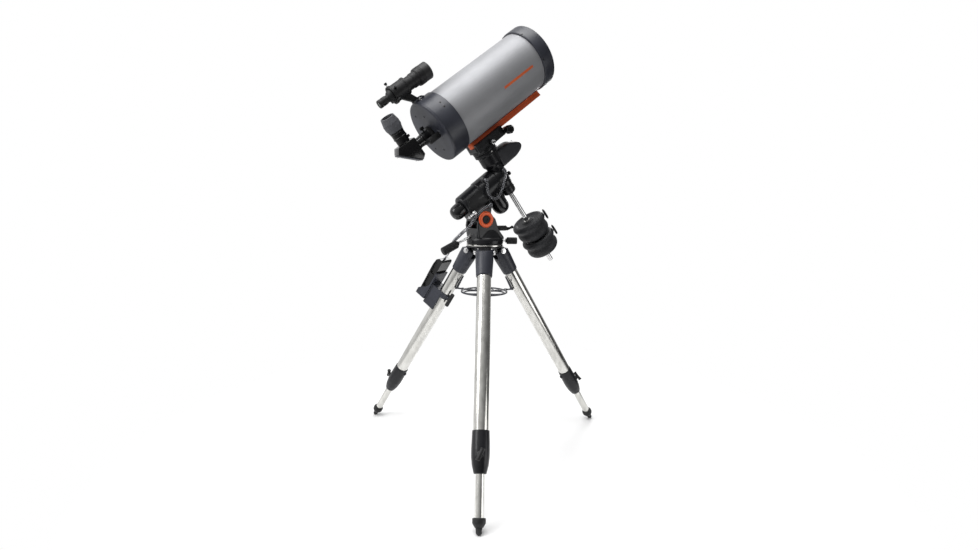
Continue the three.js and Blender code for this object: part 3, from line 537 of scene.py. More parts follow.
on_tripod = placer(GROUND, "tripod")
on_azimuth = placer(GROUND, "azimuth")
on_latitude = placer(POLAR, "latitude")
on_dec = placer(DEC, "right_ascension")
on_tube = placer(TUBE, "tube")


def screw_ring(name, size, radius, height, bearings, place, body, looks=("gloss_black",) * 8):
    """Screws of a (radius, height) round the z axis, one at each bearing from +x."""
    for index, (bearing, look) in enumerate(zip(bearings, looks)):
        screw = moved(screw_head(*size, "x"), radius, 0, height)
        piece(f"{name}_{index}", spun(screw, 0, 0, bearing), place, body, look)


# ---------------------------------------------------------------- tripod
LEG_TUBE_R = 25.4
EXTENSION_R = 14.25
CASTING_BOTTOM = -98
TUBE_END = -686
COLLAR_TOP, COLLAR_BOTTOM = -633, -763
CLAMP_AT, CLAMP_TURN = -708, 65
FOOT_CAP_TOP, FOOT_CAP_BOTTOM = -885, -913
LEG_LENGTH = 933
FOOT_R = 9.5
LUG_HALF = 16.5


def make_hub():
    disc = turned([(5.6, 770), (22, 770), (25, 794), (62, 799), (66, 800), (67, 805.8), (5.6, 805.8)],
                  fillet=2)
    lugs = []
    for bearing in LEG_BEARINGS.values():
        outline = [(HINGE_RADIUS - 18, 801), *arc((HINGE_RADIUS, HINGE_Z), 16, 180, 360),
                   (HINGE_RADIUS + 11, 801)]
        lug = plate(outline, -LUG_HALF, LUG_HALF, bevel=0)
        lugs.append(spun(lug, 0, 0, -bearing))
    on_tripod("hub_casting", cast(disc, lugs, voxel=1.4), "mount_paint", ["tripod_hub"])
    rim = pipe(40, 69.5, 806.2, 811.8, fillet=1.2)
    on_tripod("hub_rim", rim, "steel")
    for side, bearing in LEG_BEARINGS.items():
        bolt = moved(rod(5, -36, 36, "x"), 0, HINGE_RADIUS, HINGE_Z)
        heads = []
        for end in (-1, 1):
            washer = rod(10, *sorted((33.6 * end, 35.2 * end)), "x", 0.4)
            hexagon = both_ways(turned([(0, 0), (8, 0), (8, 4.6), (7, 5.6), (0, 5.6)], "x", 0.5, 6), end)
            heads += [moved(washer, 0, HINGE_RADIUS, HINGE_Z),
                      moved(hexagon, 34.6 * end, HINGE_RADIUS, HINGE_Z)]
        whole = spun(combined(bolt, heads), 0, 0, -bearing)
        on_tripod(f"hinge_bolt_{side}", whole, "chrome")


def from_hinge(point):
    """A point at a radius and height of the tripod, in the frame of a leg."""
    out, up = point[0] - HINGE_RADIUS, point[1] - HINGE_Z
    lean = math.radians(LEG_SPREAD)
    return out * math.cos(lean) + up * math.sin(lean), up * math.cos(lean) - out * math.sin(lean)


def leg_casting():
    sleeve = turned(
        [(0, -40), (LEG_TUBE_R + 0.3, -40), (LEG_TUBE_R + 0.3, CASTING_BOTTOM),
         (28, CASTING_BOTTOM), (29.4, CASTING_BOTTOM + 3), (33, -32), (33, 30), (0, 30)], fillet=2)
    under_hub = [(71.3, 840), (71.3, 797.7), (HINGE_RADIUS, 797.7),
                 *arc((HINGE_RADIUS, HINGE_Z), 13, 110, 180), (28, 764), (-10, 790), (-10, 840)]
    above = [(60, 840), (60, 795), (140, 795), (140, 840)]
    cuts = [plate([from_hinge(point) for point in line], -40, 40, bevel=0)
            for line in (under_hub, above)]
    cuts.append(block((-LUG_HALF - 0.8, -45, -20), (LUG_HALF + 0.8, 22, 40), 0))
    return cast(sleeve, cuts=cuts, voxel=1.3, smooth=5)


def leg_collar():
    body = turned(
        [(EXTENSION_R + 0.3, TUBE_END - 3), (EXTENSION_R + 0.3, COLLAR_BOTTOM + 1),
         (19.5, COLLAR_BOTTOM), (21.5, COLLAR_BOTTOM + 6), (26.4, -738), (29.3, -712),
         (29.7, -692), (29.2, -668), (27.8, COLLAR_TOP + 2), (27, COLLAR_TOP),
         (LEG_TUBE_R + 0.05, COLLAR_TOP), (LEG_TUBE_R + 0.05, TUBE_END)], fillet=5)
    boss = moved(rod(9.4, 20, 34.6, "y", 1.5), 0, 0, CLAMP_AT)
    nut = moved(rod(7, -33, -20, "y", 1.5), 0, 0, COLLAR_TOP - 18)
    return cast(body, [boss, nut], voxel=1.3, smooth=3)


def leg_clamp_parts():
    wing = plate([(37, -7), (45, -6.4), (48, 0), (45, 6.4), (37, 7)], -20, 20, 2, 2.4)
    pads = [moved(rod(7.4, -2.2, 2.2, "x", 2), 17.5 * side, 42.5, 0) for side in (-1, 1)]
    stem = rod(6.5, 34.8, 39, "y", 1)
    grip = spun(cast(wing, [*pads, stem], voxel=0.9, smooth=4), 0, CLAMP_TURN, 0)
    return moved(grip, 0, 0, CLAMP_AT), moved(rod(3.7, 22, 37, "y", 0.5), 0, 0, CLAMP_AT)


def make_foot(side, place):
    put = placer(place, f"foot_{side}")
    tube = pipe(EXTENSION_R - 2, EXTENSION_R, FOOT_CAP_TOP - 2, -350, fillet=0.5)
    put(f"lower_tube_{side}", tube, "steel", [f"leg_extension_{side}"])
    cap = turned(
        [(0, FOOT_CAP_BOTTOM + 1), (10, FOOT_CAP_BOTTOM), (13, FOOT_CAP_BOTTOM + 2), (19.4, -902),
         (20.6, -898), (20.6, -888), (19.2, FOOT_CAP_TOP), (EXTENSION_R + 0.02, FOOT_CAP_TOP),
         (EXTENSION_R + 0.02, FOOT_CAP_TOP - 1), (0, FOOT_CAP_TOP - 1)], fillet=2.2)
    put(f"foot_cap_{side}", cap, "matte_black")
    centre = -LEG_LENGTH + FOOT_R
    tip = turned([(0, centre - FOOT_R), *arc((0, centre), FOOT_R, -80, 0), (FOOT_R, -918),
                  (10.4, -916), (10.4, -913), (0, -913)], fillet=0.8)
    lean = math.radians(LEG_SPREAD)
    drop = FOOT_R - 1.0
    sole = spun(block((-30, -30, -30), (30, 30, 0), 0), -LEG_SPREAD, 0, 0)
    sole = moved(sole, 0, -drop * math.sin(lean), centre - drop * math.cos(lean))
    put(f"foot_tip_{side}", combined(tip, cuts=[sole]), "rubber")


def make_legs():
    for side, bearing in LEG_BEARINGS.items():
        place = leg_frame(bearing)
        on_leg = placer(place, f"leg_{side}")
        on_leg(f"leg_socket_{side}", leg_casting(), "cell_paint", [f"leg_casting_{side}"])
        pinch = moved(screw_head(4.5, 3, "y"), 0, -29.5, -70)
        on_leg(f"socket_screw_{side}", spun(pinch, 0, 0, 90), "chrome")
        upper = pipe(23.2, LEG_TUBE_R, TUBE_END, -42, fillet=0.5)
        on_leg(f"upper_tube_{side}", upper, "steel", [f"leg_tube_{side}"])
        on_leg(f"leg_collar_{side}", leg_collar(), "mount_paint")
        grip, screw = leg_clamp_parts()
        piece(f"clamp_grip_{side}", grip, place, f"clamp_{side}", "matte_black", [f"leg_clamp_{side}"])
        piece(f"clamp_screw_{side}", screw, place, f"clamp_{side}", "chrome")
        make_foot(side, place)


def make_tray():
    top = 631
    parts = [pipe(6.0, 16, 620.5, top + 3.5, fillet=1.4)]
    for bearing in LEG_BEARINGS.values():
        loop = moved(pipe(33.2, 37.8, 625.3, top, fillet=1.4), 0, -47, 0)
        arm = block((-4.4, 13, 625.3), (4.4, 126, top), 0)
        knee = moved(rod(6.4, 624.6, 632.4), 0, 98, 0)
        rise = plate([(123, 625.4), (131, 625.4), (130.2, 630), (97, 681), (93.6, 679.3)], -4, 4, 0, 0)
        heel = moved(rod(4.6, -4.6, 4.6, "x", 1), 0, 127.4, 628.6)
        parts += [spun(part, 0, 0, -bearing) for part in (loop, arm, knee, rise, heel)]
    ring = pipe(83.4, 89.8, 625.2, top, fillet=2)
    mesh = cast(ring, parts, voxel=1.1, smooth=3)
    piece("tray_casting", mesh, GROUND, "tray", "cell_paint", ["accessory_tray"])
    grip = knob(22, 602, 613, "z", 10, 2.4)
    neck = turned([(5.6, 612), (13, 612), (11, 617), (11, 619.5), (5.6, 619.5)], fillet=1)
    piece("tray_knob_grip", combined(grip, [neck], [rod(5.5, 590, 640)]), GROUND, "tray_nut",
          "matte_black", ["tray_knob"])


ROD_BOTTOM, THREAD_PITCH = 524, 2.4


def make_centre_rod():
    put = placer(GROUND, "rod")
    def thread(angle, at, height):
        wave = 0.5 + 0.5 * math.sin(angle + height * 2 * math.pi / THREAD_PITCH)
        return 0.45 * wave if at > 4.5 else 0

    low, high, step_up = ROD_BOTTOM, ROD_TOP, THREAD_PITCH / 4
    heights = [low + step_up * step for step in range(int((high - low) / step_up) + 1)]
    profile = [(0, low), (4.4, low), *[(5, height) for height in heights[1:-1]], (4.4, high), (0, high)]
    shaft = turned(profile, fillet=0, sides=32, groove=thread)
    put("rod_thread", shaft, "steel", ["centre_rod"])
    grip = combined(knob(20, 744, 762, "z", 12, 1.6), cuts=[rod(5.1, 700, 800)])
    put("rod_grip", grip, "matte_black")


# ---------------------------------------------------------------- hand controller
HAND_BOTTOM, HAND_TOP = -278, -102
HAND_NEAR, HAND_FAR, HAND_HALF = 62, 96, 34
CRADLE_KNOB_Z, CRADLE_KNOB_TURN = -220, -20


def make_handset():
    put = placer(leg_frame(LEG_BEARINGS["left"]), "handset")
    outline = [(HAND_NEAR, HAND_BOTTOM + 3), (HAND_NEAR + 3, HAND_BOTTOM), (HAND_FAR - 8, HAND_BOTTOM),
               (HAND_FAR - 2, HAND_BOTTOM + 6), (HAND_FAR - 1, -190), (HAND_FAR, HAND_TOP - 34),
               (HAND_FAR - 5, HAND_TOP - 8), (HAND_FAR - 14, HAND_TOP), (HAND_NEAR + 4, HAND_TOP),
               (HAND_NEAR, HAND_TOP - 4)]
    body = plate(outline, -HAND_HALF, HAND_HALF, 4, 0)
    hollows = []
    for side in (-1, 1):
        for low, high in ((-172, -118), (-240, -184)):
            outline = [(66.5, low), (88, low), (90.5, high), (66.5, high)]
            hollows.append(plate(outline, *sorted((26 * side, 40 * side)), 5, 0))
    window = block((-25, HAND_FAR - 3.4, -140), (25, HAND_FAR + 4, -118), 0)
    seam = block((-40, 76.6, -300), (40, 77.6, -80), 0)
    core = plate([(HAND_NEAR + 1.5, HAND_BOTTOM + 2), (HAND_FAR - 3, HAND_BOTTOM + 2),
                  (HAND_FAR - 3, HAND_TOP - 12), (HAND_NEAR + 2, HAND_TOP - 2)],
                 -HAND_HALF + 0.9, HAND_HALF - 0.9, bevel=0)
    shell = combined(body, cuts=[seam])
    shell = combined(shell, [core], [*hollows, window])
    mesh = cast(shell, voxel=1.0, smooth=4)
    put("handset_body", mesh, "gloss_black", ["hand_controller"])
    glass = block((-24.2, HAND_FAR - 3.2, -139.3), (24.2, HAND_FAR - 1.6, -118.7), 0.5)
    put("handset_screen", glass, "screen")
    keys = []
    for row in range(6):
        for column in range(3):
            x, z = -15 + 15 * column, -156 - 16 * row
            wide = 5.2 if row else 4.2
            keys.append(block((x - wide, HAND_FAR - 3.5, z - 3.6), (x + wide, HAND_FAR + 0.6, z + 3.6),
                              1.6))
    put("handset_keys", combined(keys[0], keys[1:]), "grey_rubber")


def make_cradle():
    place = leg_frame(LEG_BEARINGS["left"])
    near, low = HAND_NEAR - 0.6, HAND_BOTTOM - 0.6
    wide = HAND_HALF + 0.6
    back = block((-wide - 4, near - 7, low - 4), (wide + 4, near, HAND_BOTTOM + 120), 0)
    floor = block((-wide - 4, near - 1, low - 4), (wide + 4, HAND_FAR + 4.6, low), 0)
    walls = []
    for inner, outer in ((-wide - 4, -wide), (wide, wide + 4)):
        outline = [(near - 1, low - 4), (HAND_FAR + 4.6, low - 4), (HAND_FAR + 4.6, low + 20),
                   (near + 10, low + 46), (near - 1, low + 62)]
        walls.append(plate(outline, inner, outer, 3, 0))
    lip = block((-wide - 4, HAND_FAR + 0.6, low - 4), (wide + 4, HAND_FAR + 4.6, low + 20), 0)
    pad = block((-30, 0, -298), (30, near - 6, -208), 0)
    strap = moved(pipe(LEG_TUBE_R + 0.2, LEG_TUBE_R + 3, -12, 12), 0, 0, CRADLE_KNOB_Z)
    boss = moved(spun(rod(8, -32, -26, "y"), 0, 0, CRADLE_KNOB_TURN), 0, 0, CRADLE_KNOB_Z)
    cut = bore(LEG_TUBE_R + 0.25, -320, -190, sides=ROUND)
    whole = combined(back, [floor, *walls, lip, pad, strap, boss], [cut])
    piece("cradle_moulding", cast(whole, voxel=1.1, smooth=2), place, "leg_left", "cell_paint",
          ["controller_cradle"])
    grip = moved(knob(8, -29, 29, "z", 14, 0.7), 0, -41, 0)
    stem = rod(3, -36, -27, "y")
    place = place @ shift(0, 0, CRADLE_KNOB_Z) @ turn(CRADLE_KNOB_TURN, "Z")
    piece("cradle_grip", grip, place, "cradle_screw", "rubber", ["cradle_knob"])
    piece("cradle_screw_stem", stem, place, "cradle_screw", "chrome")


# ---------------------------------------------------------------- azimuth base
LATITUDE_BOLT_TILT, LATITUDE_BOLT = 25.5, (-93, 827)
AZIMUTH_BOLT_BEARING, AZIMUTH_BOLT_Z = 28, 825


def make_yoke():
    foot = turned([(6, 812.4), (67, 812.4), (69, 816), (69, 829), (65, 837), (6, 837)], fillet=2)
    cone = turned([(0, 824), (64, 824), (62.5, 840), (57, 852), (51, 866), (38, 870), (0, 870)], fillet=6)
    outline = [(56, 838), (31, 868), (16, 908), *arc((-26, 906), 30, 40, 150), (-58, 880), (-52, 838)]
    cheeks = [plate(outline, low, high, bevel=0) for low, high in ((-49.8, -38.2), (38.2, 49.8))]
    south = block((-39, -56, 838), (39, -46, 872), 0)
    bridge = block((-39, 18, 862), (39, 30, 880), 0)
    pin = moved(rod(9, -45, 45, "x"), 0, -26, 906)
    cuts = [bore(6, 800, 826),
            moved(spun(bore(5.6, -80, 80, "y"), LATITUDE_BOLT_TILT, 0, 0), 0, *LATITUDE_BOLT)]
    for side in (-1, 1):
        hole = bore(4.4, 44, 90, "y", (0, 0, AZIMUTH_BOLT_Z))
        cuts.append(spun(hole, 0, 0, -side * AZIMUTH_BOLT_BEARING))
    mesh = cast(foot, [cone, *cheeks, south, bridge, pin], cuts, 1.4, 8)
    on_azimuth("yoke_casting", mesh, "mount_paint", ["azimuth_yoke"])
    screw_ring("base_screw", (2.6, 2), 68.2, 822.5, (15, 75, 105, 165, 195, 255, 285, 345), GROUND,
               "azimuth")


def make_north_bolt():
    stem = moved(rod(5, 40, 54, "y"), 0, 0, 870)
    on_azimuth("north_bolt_stem", stem, "chrome")
    grip = moved(knob(10, 50, 93, "y", 12, 1.0), 0, 0, 870)
    on_azimuth("north_bolt_grip", grip, "matte_black")
    handle = combined(rod(4.5, -6, 24, "x", 1), [turned([(0, 22), (5.4, 23), (5.8, 28), (4.6, 30.4),
                                                         (0, 31)], "x", 2, SMALL)])
    handle = moved(spun(handle, 0, -20, 8), 0, 101, 866)
    neck = moved(rod(4, 90, 104, "y"), 0, 0, 870)
    on_azimuth("north_bolt_lever", combined(handle, [neck]), "matte_black")


def make_latitude_cap():
    place = PIVOT @ shift(50.3, 0, 0)
    ring = turned([(16, 0), (30, 0), (30, 4), (27, 7), (18, 7), (15.6, 4.4)], "x", 2.2)
    piece("latitude_ring", ring, place, "azimuth", "orange", ["latitude_cap"])
    button = turned([(0, 0), (15.4, 0), (15.4, 2.6), (12, 3.4), (0, 3.4)], "x", 0.8)
    socket = turned([(0, 1), (8, 1), (8, 9), (0, 9)], "x", 0, 6)
    piece("latitude_button", combined(button, cuts=[socket]), place, "azimuth", "matte_black")


def make_latitude_bolt():
    put = placer(shift(0, *LATITUDE_BOLT) @ turn(LATITUDE_BOLT_TILT, "X"), "latitude_screw")
    chrome = turned([(0, -40), (5, -40), (5, 44), (3.6, 48), (0, 48)], "y", 1, SMALL)
    put("latitude_bolt_rod", chrome, "chrome", ["latitude_bolt"])
    grip = knob(15.4, -92, -28, "y", 16, 1.5)
    put("latitude_bolt_grip", grip, "matte_black")
    collar = turned([(5.1, -28.4), (11, -28.4), (8.5, -22), (5.1, -22)], "y", 1)
    put("latitude_bolt_collar", collar, "black_aluminium")


def make_azimuth_bolts():
    for name, side in (("east", 1), ("west", -1)):
        place = turn(-side * AZIMUTH_BOLT_BEARING, "Z") @ shift(0, 0, AZIMUTH_BOLT_Z)
        body = f"azimuth_screw_{name}"
        stud = rod(4, 47, 84, "y")
        piece(f"azimuth_stud_{name}", stud, place, body, "chrome", [f"azimuth_bolt_{name}"])
        grip = combined(knob(13, 82, 121.8, "y", 14, 1.3), [rod(7.5, 77, 84, "y", 1)])
        piece(f"azimuth_grip_{name}", grip, place, body, "matte_black")


# ---------------------------------------------------------------- right ascension head
POLAR_HEIGHT = 75
POLAR_REAR, POLAR_STEP, POLAR_FRONT = -33, 50, 134.7
POLAR_R = 46
MOTOR_AT = 103


def make_polar_housing():
    barrel = turned(
        [(16.8, POLAR_REAR), (37, POLAR_REAR), (42, POLAR_REAR + 5), (43, POLAR_STEP),
         (POLAR_R, POLAR_STEP + 4), (POLAR_R, POLAR_FRONT - 3), (POLAR_R - 2, POLAR_FRONT),
         (16.8, POLAR_FRONT)], "y", 1.5)
    barrel = moved(barrel, 0, 0, POLAR_HEIGHT)
    outline = [*arc((0, 0), 28, 180, 315), (44, 6), (66, 30), (66, POLAR_HEIGHT),
               (POLAR_REAR, POLAR_HEIGHT), (POLAR_REAR + 1, 36)]
    belly = plate(outline, -37.2, 37.2, bevel=0)
    hand_port = block((36, 38, 22), (43.8, 60, 40), 0)
    dec_port = moved(rod(8, 12, 35.8, "x"), 0, 88, 113)
    cuts = [bore(16.8, -60, 200, "y", (0, 0, POLAR_HEIGHT)), bore(9.4, -60, 60, "x")]
    mesh = cast(barrel, [belly, hand_port, dec_port], cuts, 1.6, 7)
    on_latitude("polar_casting", mesh, "mount_paint", ["polar_housing"])
    for side in (-1, 1):
        outline = [(-22, 44), (52, 44), (60, 56), (60, 84), (46, 100), (-14, 100), (-24, 88)]
        panel = plate(outline, *sorted((38.6 * side, 42.6 * side)), 7, 1.2)
        name = "east" if side > 0 else "west"
        on_latitude(f"polar_panel_{name}", panel, "matte_black")
        for index, (y, z) in enumerate(((-14, 52), (51, 54), (51, 84), (-14, 90))):
            screw = moved(both_ways(screw_head(2.4, 1.4, "x"), side), 42.6 * side, y, z)
            on_latitude(f"panel_screw_{name}_{index}", screw, "gloss_black")


def make_polar_motor():
    pod = turned([(0, -46), (12, -45), (22, -40), (29, -31), (32.5, -18), (33, 0), (33, 20), (33, 60),
                  (0, 60)], "z", 6)
    pod = moved(pod, 0, MOTOR_AT, 0)
    hollow = bore(POLAR_R + 0.2, 0, 200, "y", (0, 0, POLAR_HEIGHT), WIDE)
    on_latitude("polar_motor_shell", combined(pod, cuts=[hollow]), "gloss_black", ["polar_motor_cover"])
    seam = moved(pipe(32.6, 33.5, 18.6, 19.6, fillet=0.3), 0, MOTOR_AT, 0)
    on_latitude("polar_motor_seam", seam, "matte_black")
    screw_ring("polar_motor_screw", (2.4, 1.6), 32.6, 8, (20, 160), POLAR @ shift(0, MOTOR_AT, 0),
               "latitude", ("black_aluminium", "black_aluminium"))


def make_polar_cover():
    nose = turned([(0, -82), (13, -80.6), (21.6, -76), (26.8, -67), (28.5, -54), (28.5, -33.3),
                   (25, -33.3), (25, -54), (20, -73), (0, -79)], "y", 4)
    place = POLAR @ shift(0, 0, POLAR_HEIGHT)
    piece("polar_nose", nose, place, "latitude", "gloss_black", ["polar_cover"])
    ring = pipe(28.4, 29.6, -40, -36, "y", 0.5)
    piece("polar_nose_ring", ring, place, "latitude", "black_aluminium")


def lever_mesh(low=4, high=9):
    hub = turned([(0, 0), (8, 0), (8, high - 1), (6, high + 2), (0, high + 2)], "y", 1.2, SMALL)
    arm = plate([(low, -2), (low, -31), (high, -32), (high, -2)], -4, 4, 1, 0)
    tip = moved(rod(5, low - 1, high + 1, "y", 1.5), 0, 0, -29)
    return cast(hub, [arm, tip], voxel=0.7, smooth=3)


def make_polar_lever():
    place = POLAR @ shift(37.7, -20, 46)
    mesh = spun(lever_mesh(), 0, -90, -90)
    piece("polar_lever", mesh, place, "polar_lock", "chrome", ["polar_lock_lever"])


# ---------------------------------------------------------------- declination assembly
DEC_TOP, DEC_BOTTOM = 112, -78
WEIGHT_SCREW_TURN = -25


def make_dec_housing():
    body = turned(
        [(0, DEC_BOTTOM), (20, DEC_BOTTOM), (25.5, -73), (27.5, -62), (27.5, -46), (26, -45), (26, -42),
         (28, -40), (31.5, 0), (31.8, 48), (39, 60), (39, 98), (45.8, 101), (45.8, DEC_TOP - 0.2),
         (0, DEC_TOP - 0.2)], "z", 1.5)
    neck = rod(37.8, -31.7, 0, "y", 1, ROUND)
    port = moved(rod(8, 24, 43.8, "x"), 0, 2, 24)
    cuts = [bore(16.8, -28, 150), bore(9.9, -100, -20), bore(16.8, -60, -20.1, "y")]
    mesh = cast(body, [neck, port], cuts, 1.5, 5)
    on_dec("dec_casting", mesh, "mount_paint", ["dec_housing"])
    ring = pipe(27.2, 28.0, -58, -55, fillet=0.4)
    on_dec("dec_cap_ring", ring, "black_aluminium")
    screw_ring("dec_flange_screw", (2.6, 1.6), 45.2, 106.4, (-60, 0, 60, 150, 210), DEC,
               "right_ascension", ("gloss_black", "steel", "gloss_black", "gloss_black", "gloss_black"))


def make_dec_motor():
    """A round-backed pod: its outline shrinks towards both flanks."""
    side = [(20, 20), (100, 22), (130, 32), (141, 45), (141, 58), (131, 69), (88, 93), (20, 95)]
    layers = []
    for half in (9, 15, 20, 24, 27, 29, 30.4):
        share = math.sqrt(1 - (half / 31) ** 2 * 0.42)
        outline = [(40 + (y - 40) * (0.5 + 0.5 * share) if y > 40 else y, 58 + (z - 58) * share)
                   for y, z in side]
        layers.append(plate(outline, -half, half, 10, 0))
    mesh = cast(layers[0], layers[1:], [bore(39.2, 0, 120, sides=ROUND)], 1.5, 10)
    on_dec("dec_motor_shell", mesh, "cover_plastic", ["dec_motor_cover"])
    screw = moved(spun(screw_head(3, 1.6), -34, 0, 0), 0, 118, 76.2)
    on_dec("dec_motor_screw", screw, "black_aluminium")


def make_dec_lever():
    mesh = moved(spun(lever_mesh(2, 6), 0, 70, 0), 8, 31.6, -12)
    piece("dec_lever", mesh, DEC, "dec_lock", "matte_black", ["dec_lock_lever"])


def make_counterweights():
    shaft = turned([(0, -415), (7.5, -415), (9.5, -413), (9.5, -29), (0, -29)], fillet=1.2)
    on_dec("weight_bar", shaft, "chrome", ["counterweight_shaft"])
    for name, top in (("upper", -210), ("lower", -288)):
        profile = [(9.8, -1), (13, -0.6), (18, 0), (22, -1), (26, -6.5), (44, -7), (50, -2.4), (56, -0.6),
                   (63, -3), (68, -10), (68.8, -17), (66, -24), (61.5, -30), (60.8, -35), (63.4, -42),
                   (64.8, -50), (63.4, -60), (58.5, -69), (51, -75.8), (9.8, -75.8)]
        iron = turned(profile, fillet=3.5)
        hole = moved(spun(bore(4.4, 0, 80, "y"), 0, 0, WEIGHT_SCREW_TURN), 0, 0, -20)
        place = DEC @ shift(0, 0, top)
        piece(f"weight_{name}_iron", combined(iron, cuts=[hole]), place, f"weight_{name}", "weight_iron",
              [f"counterweight_{name}"])
        liner = pipe(9.7, 12.4, -1.6, 0.6, fillet=0.5)
        piece(f"weight_{name}_liner", liner, place, f"weight_{name}", "steel")
        place = place @ shift(0, 0, -20) @ turn(WEIGHT_SCREW_TURN, "Z")
        grip = knob(22, 70.4, 78, "y", 20, 1.3)
        piece(f"weight_{name}_grip", grip, place, f"weight_screw_{name}", "matte_black",
              [f"counterweight_screw_{name}"])
        piece(f"weight_{name}_stem", rod(4, 11, 74, "y"), place, f"weight_screw_{name}", "chrome")


# ---------------------------------------------------------------- saddle
SADDLE_REAR, SADDLE_FRONT, SADDLE_FLOOR = -45, 93, 146.7


def make_saddle():
    put = placer(DEC, "declination")
    disc = turned([(0, 112.6), (45, 112.6), (46, 114), (46, 124), (0, 124)], fillet=1)
    outline = [(SADDLE_REAR, SADDLE_FLOOR + 1), (SADDLE_REAR, 131), (-34, 118), (64, 118),
               (SADDLE_FRONT - 3, 133), (SADDLE_FRONT, SADDLE_FLOOR + 1)]
    body = plate(outline, -30, 30, 4, 0)
    lug = block((16, 80, 122), (38, 112, 141), 0)
    jaws = [moved(block((-10, -41, 121), (8, 89, 158), 0), x, 0, 0) for x in (-30, 32)]
    slot = [(-22.5, SADDLE_FLOOR), (22.5, SADDLE_FLOOR), (22.5, 149.7), (17.5, 163), (-17.5, 163),
            (-22.5, 149.7)]
    groove = spun(plate(slot, -160, 160, bevel=0), 0, 0, -90)
    cuts = [groove, bore(4.4, 20, 60, "x", (0, 100, 131)), bore(3.4, 20, 60, "x", (0, 21, 131))]
    mesh = cast(disc, [body, lug, *jaws], cuts, 1.4, 4)
    put("saddle_casting", mesh, "black_aluminium", ["saddle"])
    for index, y in enumerate((-26, 0, 45, 70)):
        screw = moved(screw_head(3.4, 2.4, "x"), 39.6, y, 140)
        put(f"saddle_screw_{index}", screw, "gloss_black")


def make_saddle_knobs():
    for name, y, radius, stem, low, high in (("front", 100, 16, 4, 47, 70), ("rear", 21, 9, 3, 46, 58)):
        place = DEC @ shift(0, y, 131)
        body = f"saddle_screw_{name}"
        neck = rod(radius * 0.55, low - 4, low + 2, "x", 1)
        grip = combined(knob(radius, low, high, "x", 8, radius * 0.13), [neck])
        look = "gloss_black" if name == "front" else "chrome"
        piece(f"saddle_grip_{name}", grip, place, body, look, [f"saddle_knob_{name}"])
        piece(f"saddle_stud_{name}", rod(stem, 22, low + 1, "x"), place, body, "chrome")


# ---------------------------------------------------------------- optical tube
CELL_R, CELL_LONG = 114, 73
TUBE_R = 110
RING_R, RING_REAR, RING_FRONT = 116, 464.5, 514.5
FOCUS_X, FOCUS_Z = 55, -9
LENS_CURVE, LENS_R = 200, 94


def side_screws(name, radius, spots, size):
    """Screws on the outside of a cell, at (degrees from +x towards +z, height along y)."""
    for index, (angle, along) in enumerate(spots):
        screw = moved(screw_head(size, 1.5, "x"), radius - 0.3, along, 0)
        on_tube(f"{name}_{index}", spun(screw, 0, -angle, 0), "gloss_black")


def make_rear_cell():
    cell = turned(
        [(20.4, 0), (60, 0.0), (CELL_R - 7, 0), (CELL_R - 2, 1.8), (CELL_R, 7), (CELL_R, CELL_LONG),
         (TUBE_R - 3, CELL_LONG), (TUBE_R - 3, CELL_LONG + 12), (TUBE_R - 6, CELL_LONG + 12),
         (TUBE_R - 6, 8), (20.4, 8)], "y", 2.4, WIDE)
    shoe = bevelled(block((-17, 6, CELL_R - 4), (17, 44, CELL_R + 5), 0), 1.2)
    boss = moved(turned([(0, -1.8), (13, -1.8), (15, 0), (15, 4), (0, 4)], "y", 1), FOCUS_X, 0, FOCUS_Z)
    cuts = [bore(4.6, -10, 20, "y", (FOCUS_X, 0, FOCUS_Z)),
            plate([(2, 115), (50, 115), (50, 120), (2, 120)], -9, 9, bevel=0)]
    on_tube("rear_casting", combined(cell, [shoe, boss], cuts), "cell_paint", ["rear_cell"])
    for index, (x, z) in enumerate(((20.6, 61), (11.9, -69.2), (-70, 2), (-48, -60), (-40, 70))):
        socket = spun(screw_head(3.2, 1.6, "y"), 0, 0, 180)
        on_tube(f"back_screw_{index}", moved(socket, x, 0.2, z), "gloss_black")
    spots = [(42, 50), (32, 49), (122, 50), (212, 50), (302, 50)]
    side_screws("rear_side_screw", CELL_R, spots, 3.6)
    clamp = moved(knob(5, 0, 9, "x", 10, 0.5), 19, 22, CELL_R + 1)
    on_tube("shoe_thumbscrew", moved(clamp, -1.6, 0, 0), "chrome")


def make_tube_shell():
    shell = pipe(TUBE_R - 2.5, TUBE_R, CELL_LONG + 0.3, RING_REAR - 0.3, "y", 0.3, WIDE)
    on_tube("tube_shell", shell, "tube_paint", ["main_tube"])
    points, faces = [], []
    steps = 14
    for index in range(steps + 1):
        angle = math.radians(-8.4 + 4.4 * index / steps)
        for along in (276, 421):
            for radius in (TUBE_R + 0.02, TUBE_R + 0.32):
                points.append((radius * math.cos(angle), along, radius * math.sin(angle)))
    for index in range(steps):
        here, after = 4 * index, 4 * index + 4
        for one, two in ((0, 1), (1, 3), (3, 2), (2, 0)):
            faces.append((here + one, here + two, after + two, after + one))
    faces += [(0, 1, 3, 2), tuple(4 * steps + corner for corner in (2, 3, 1, 0))]
    on_tube("accent_stripe", mesh_from(points, faces), "orange")


def make_front_cell():
    cell = turned(
        [(TUBE_R - 3, RING_REAR - 12), (TUBE_R - 3, RING_REAR), (RING_R - 2.4, RING_REAR),
         (RING_R, RING_REAR + 2.4), (RING_R, RING_FRONT - 3), (RING_R - 3, RING_FRONT),
         (105, RING_FRONT), (92, 502), (92, 500.6), (94.2, 500.6), (94.2, 481), (91, 481), (91, 476),
         (TUBE_R - 6, 472), (TUBE_R - 6, RING_REAR - 12)], "y", 1.2, WIDE)
    on_tube("front_ring", cell, "cell_paint", ["front_cell"])
    side_screws("ring_screw", RING_R, [(-8 + 60 * turn_index, 469) for turn_index in range(6)], 3.2)


def sag(radius):
    return LENS_CURVE - math.sqrt(LENS_CURVE**2 - radius**2)


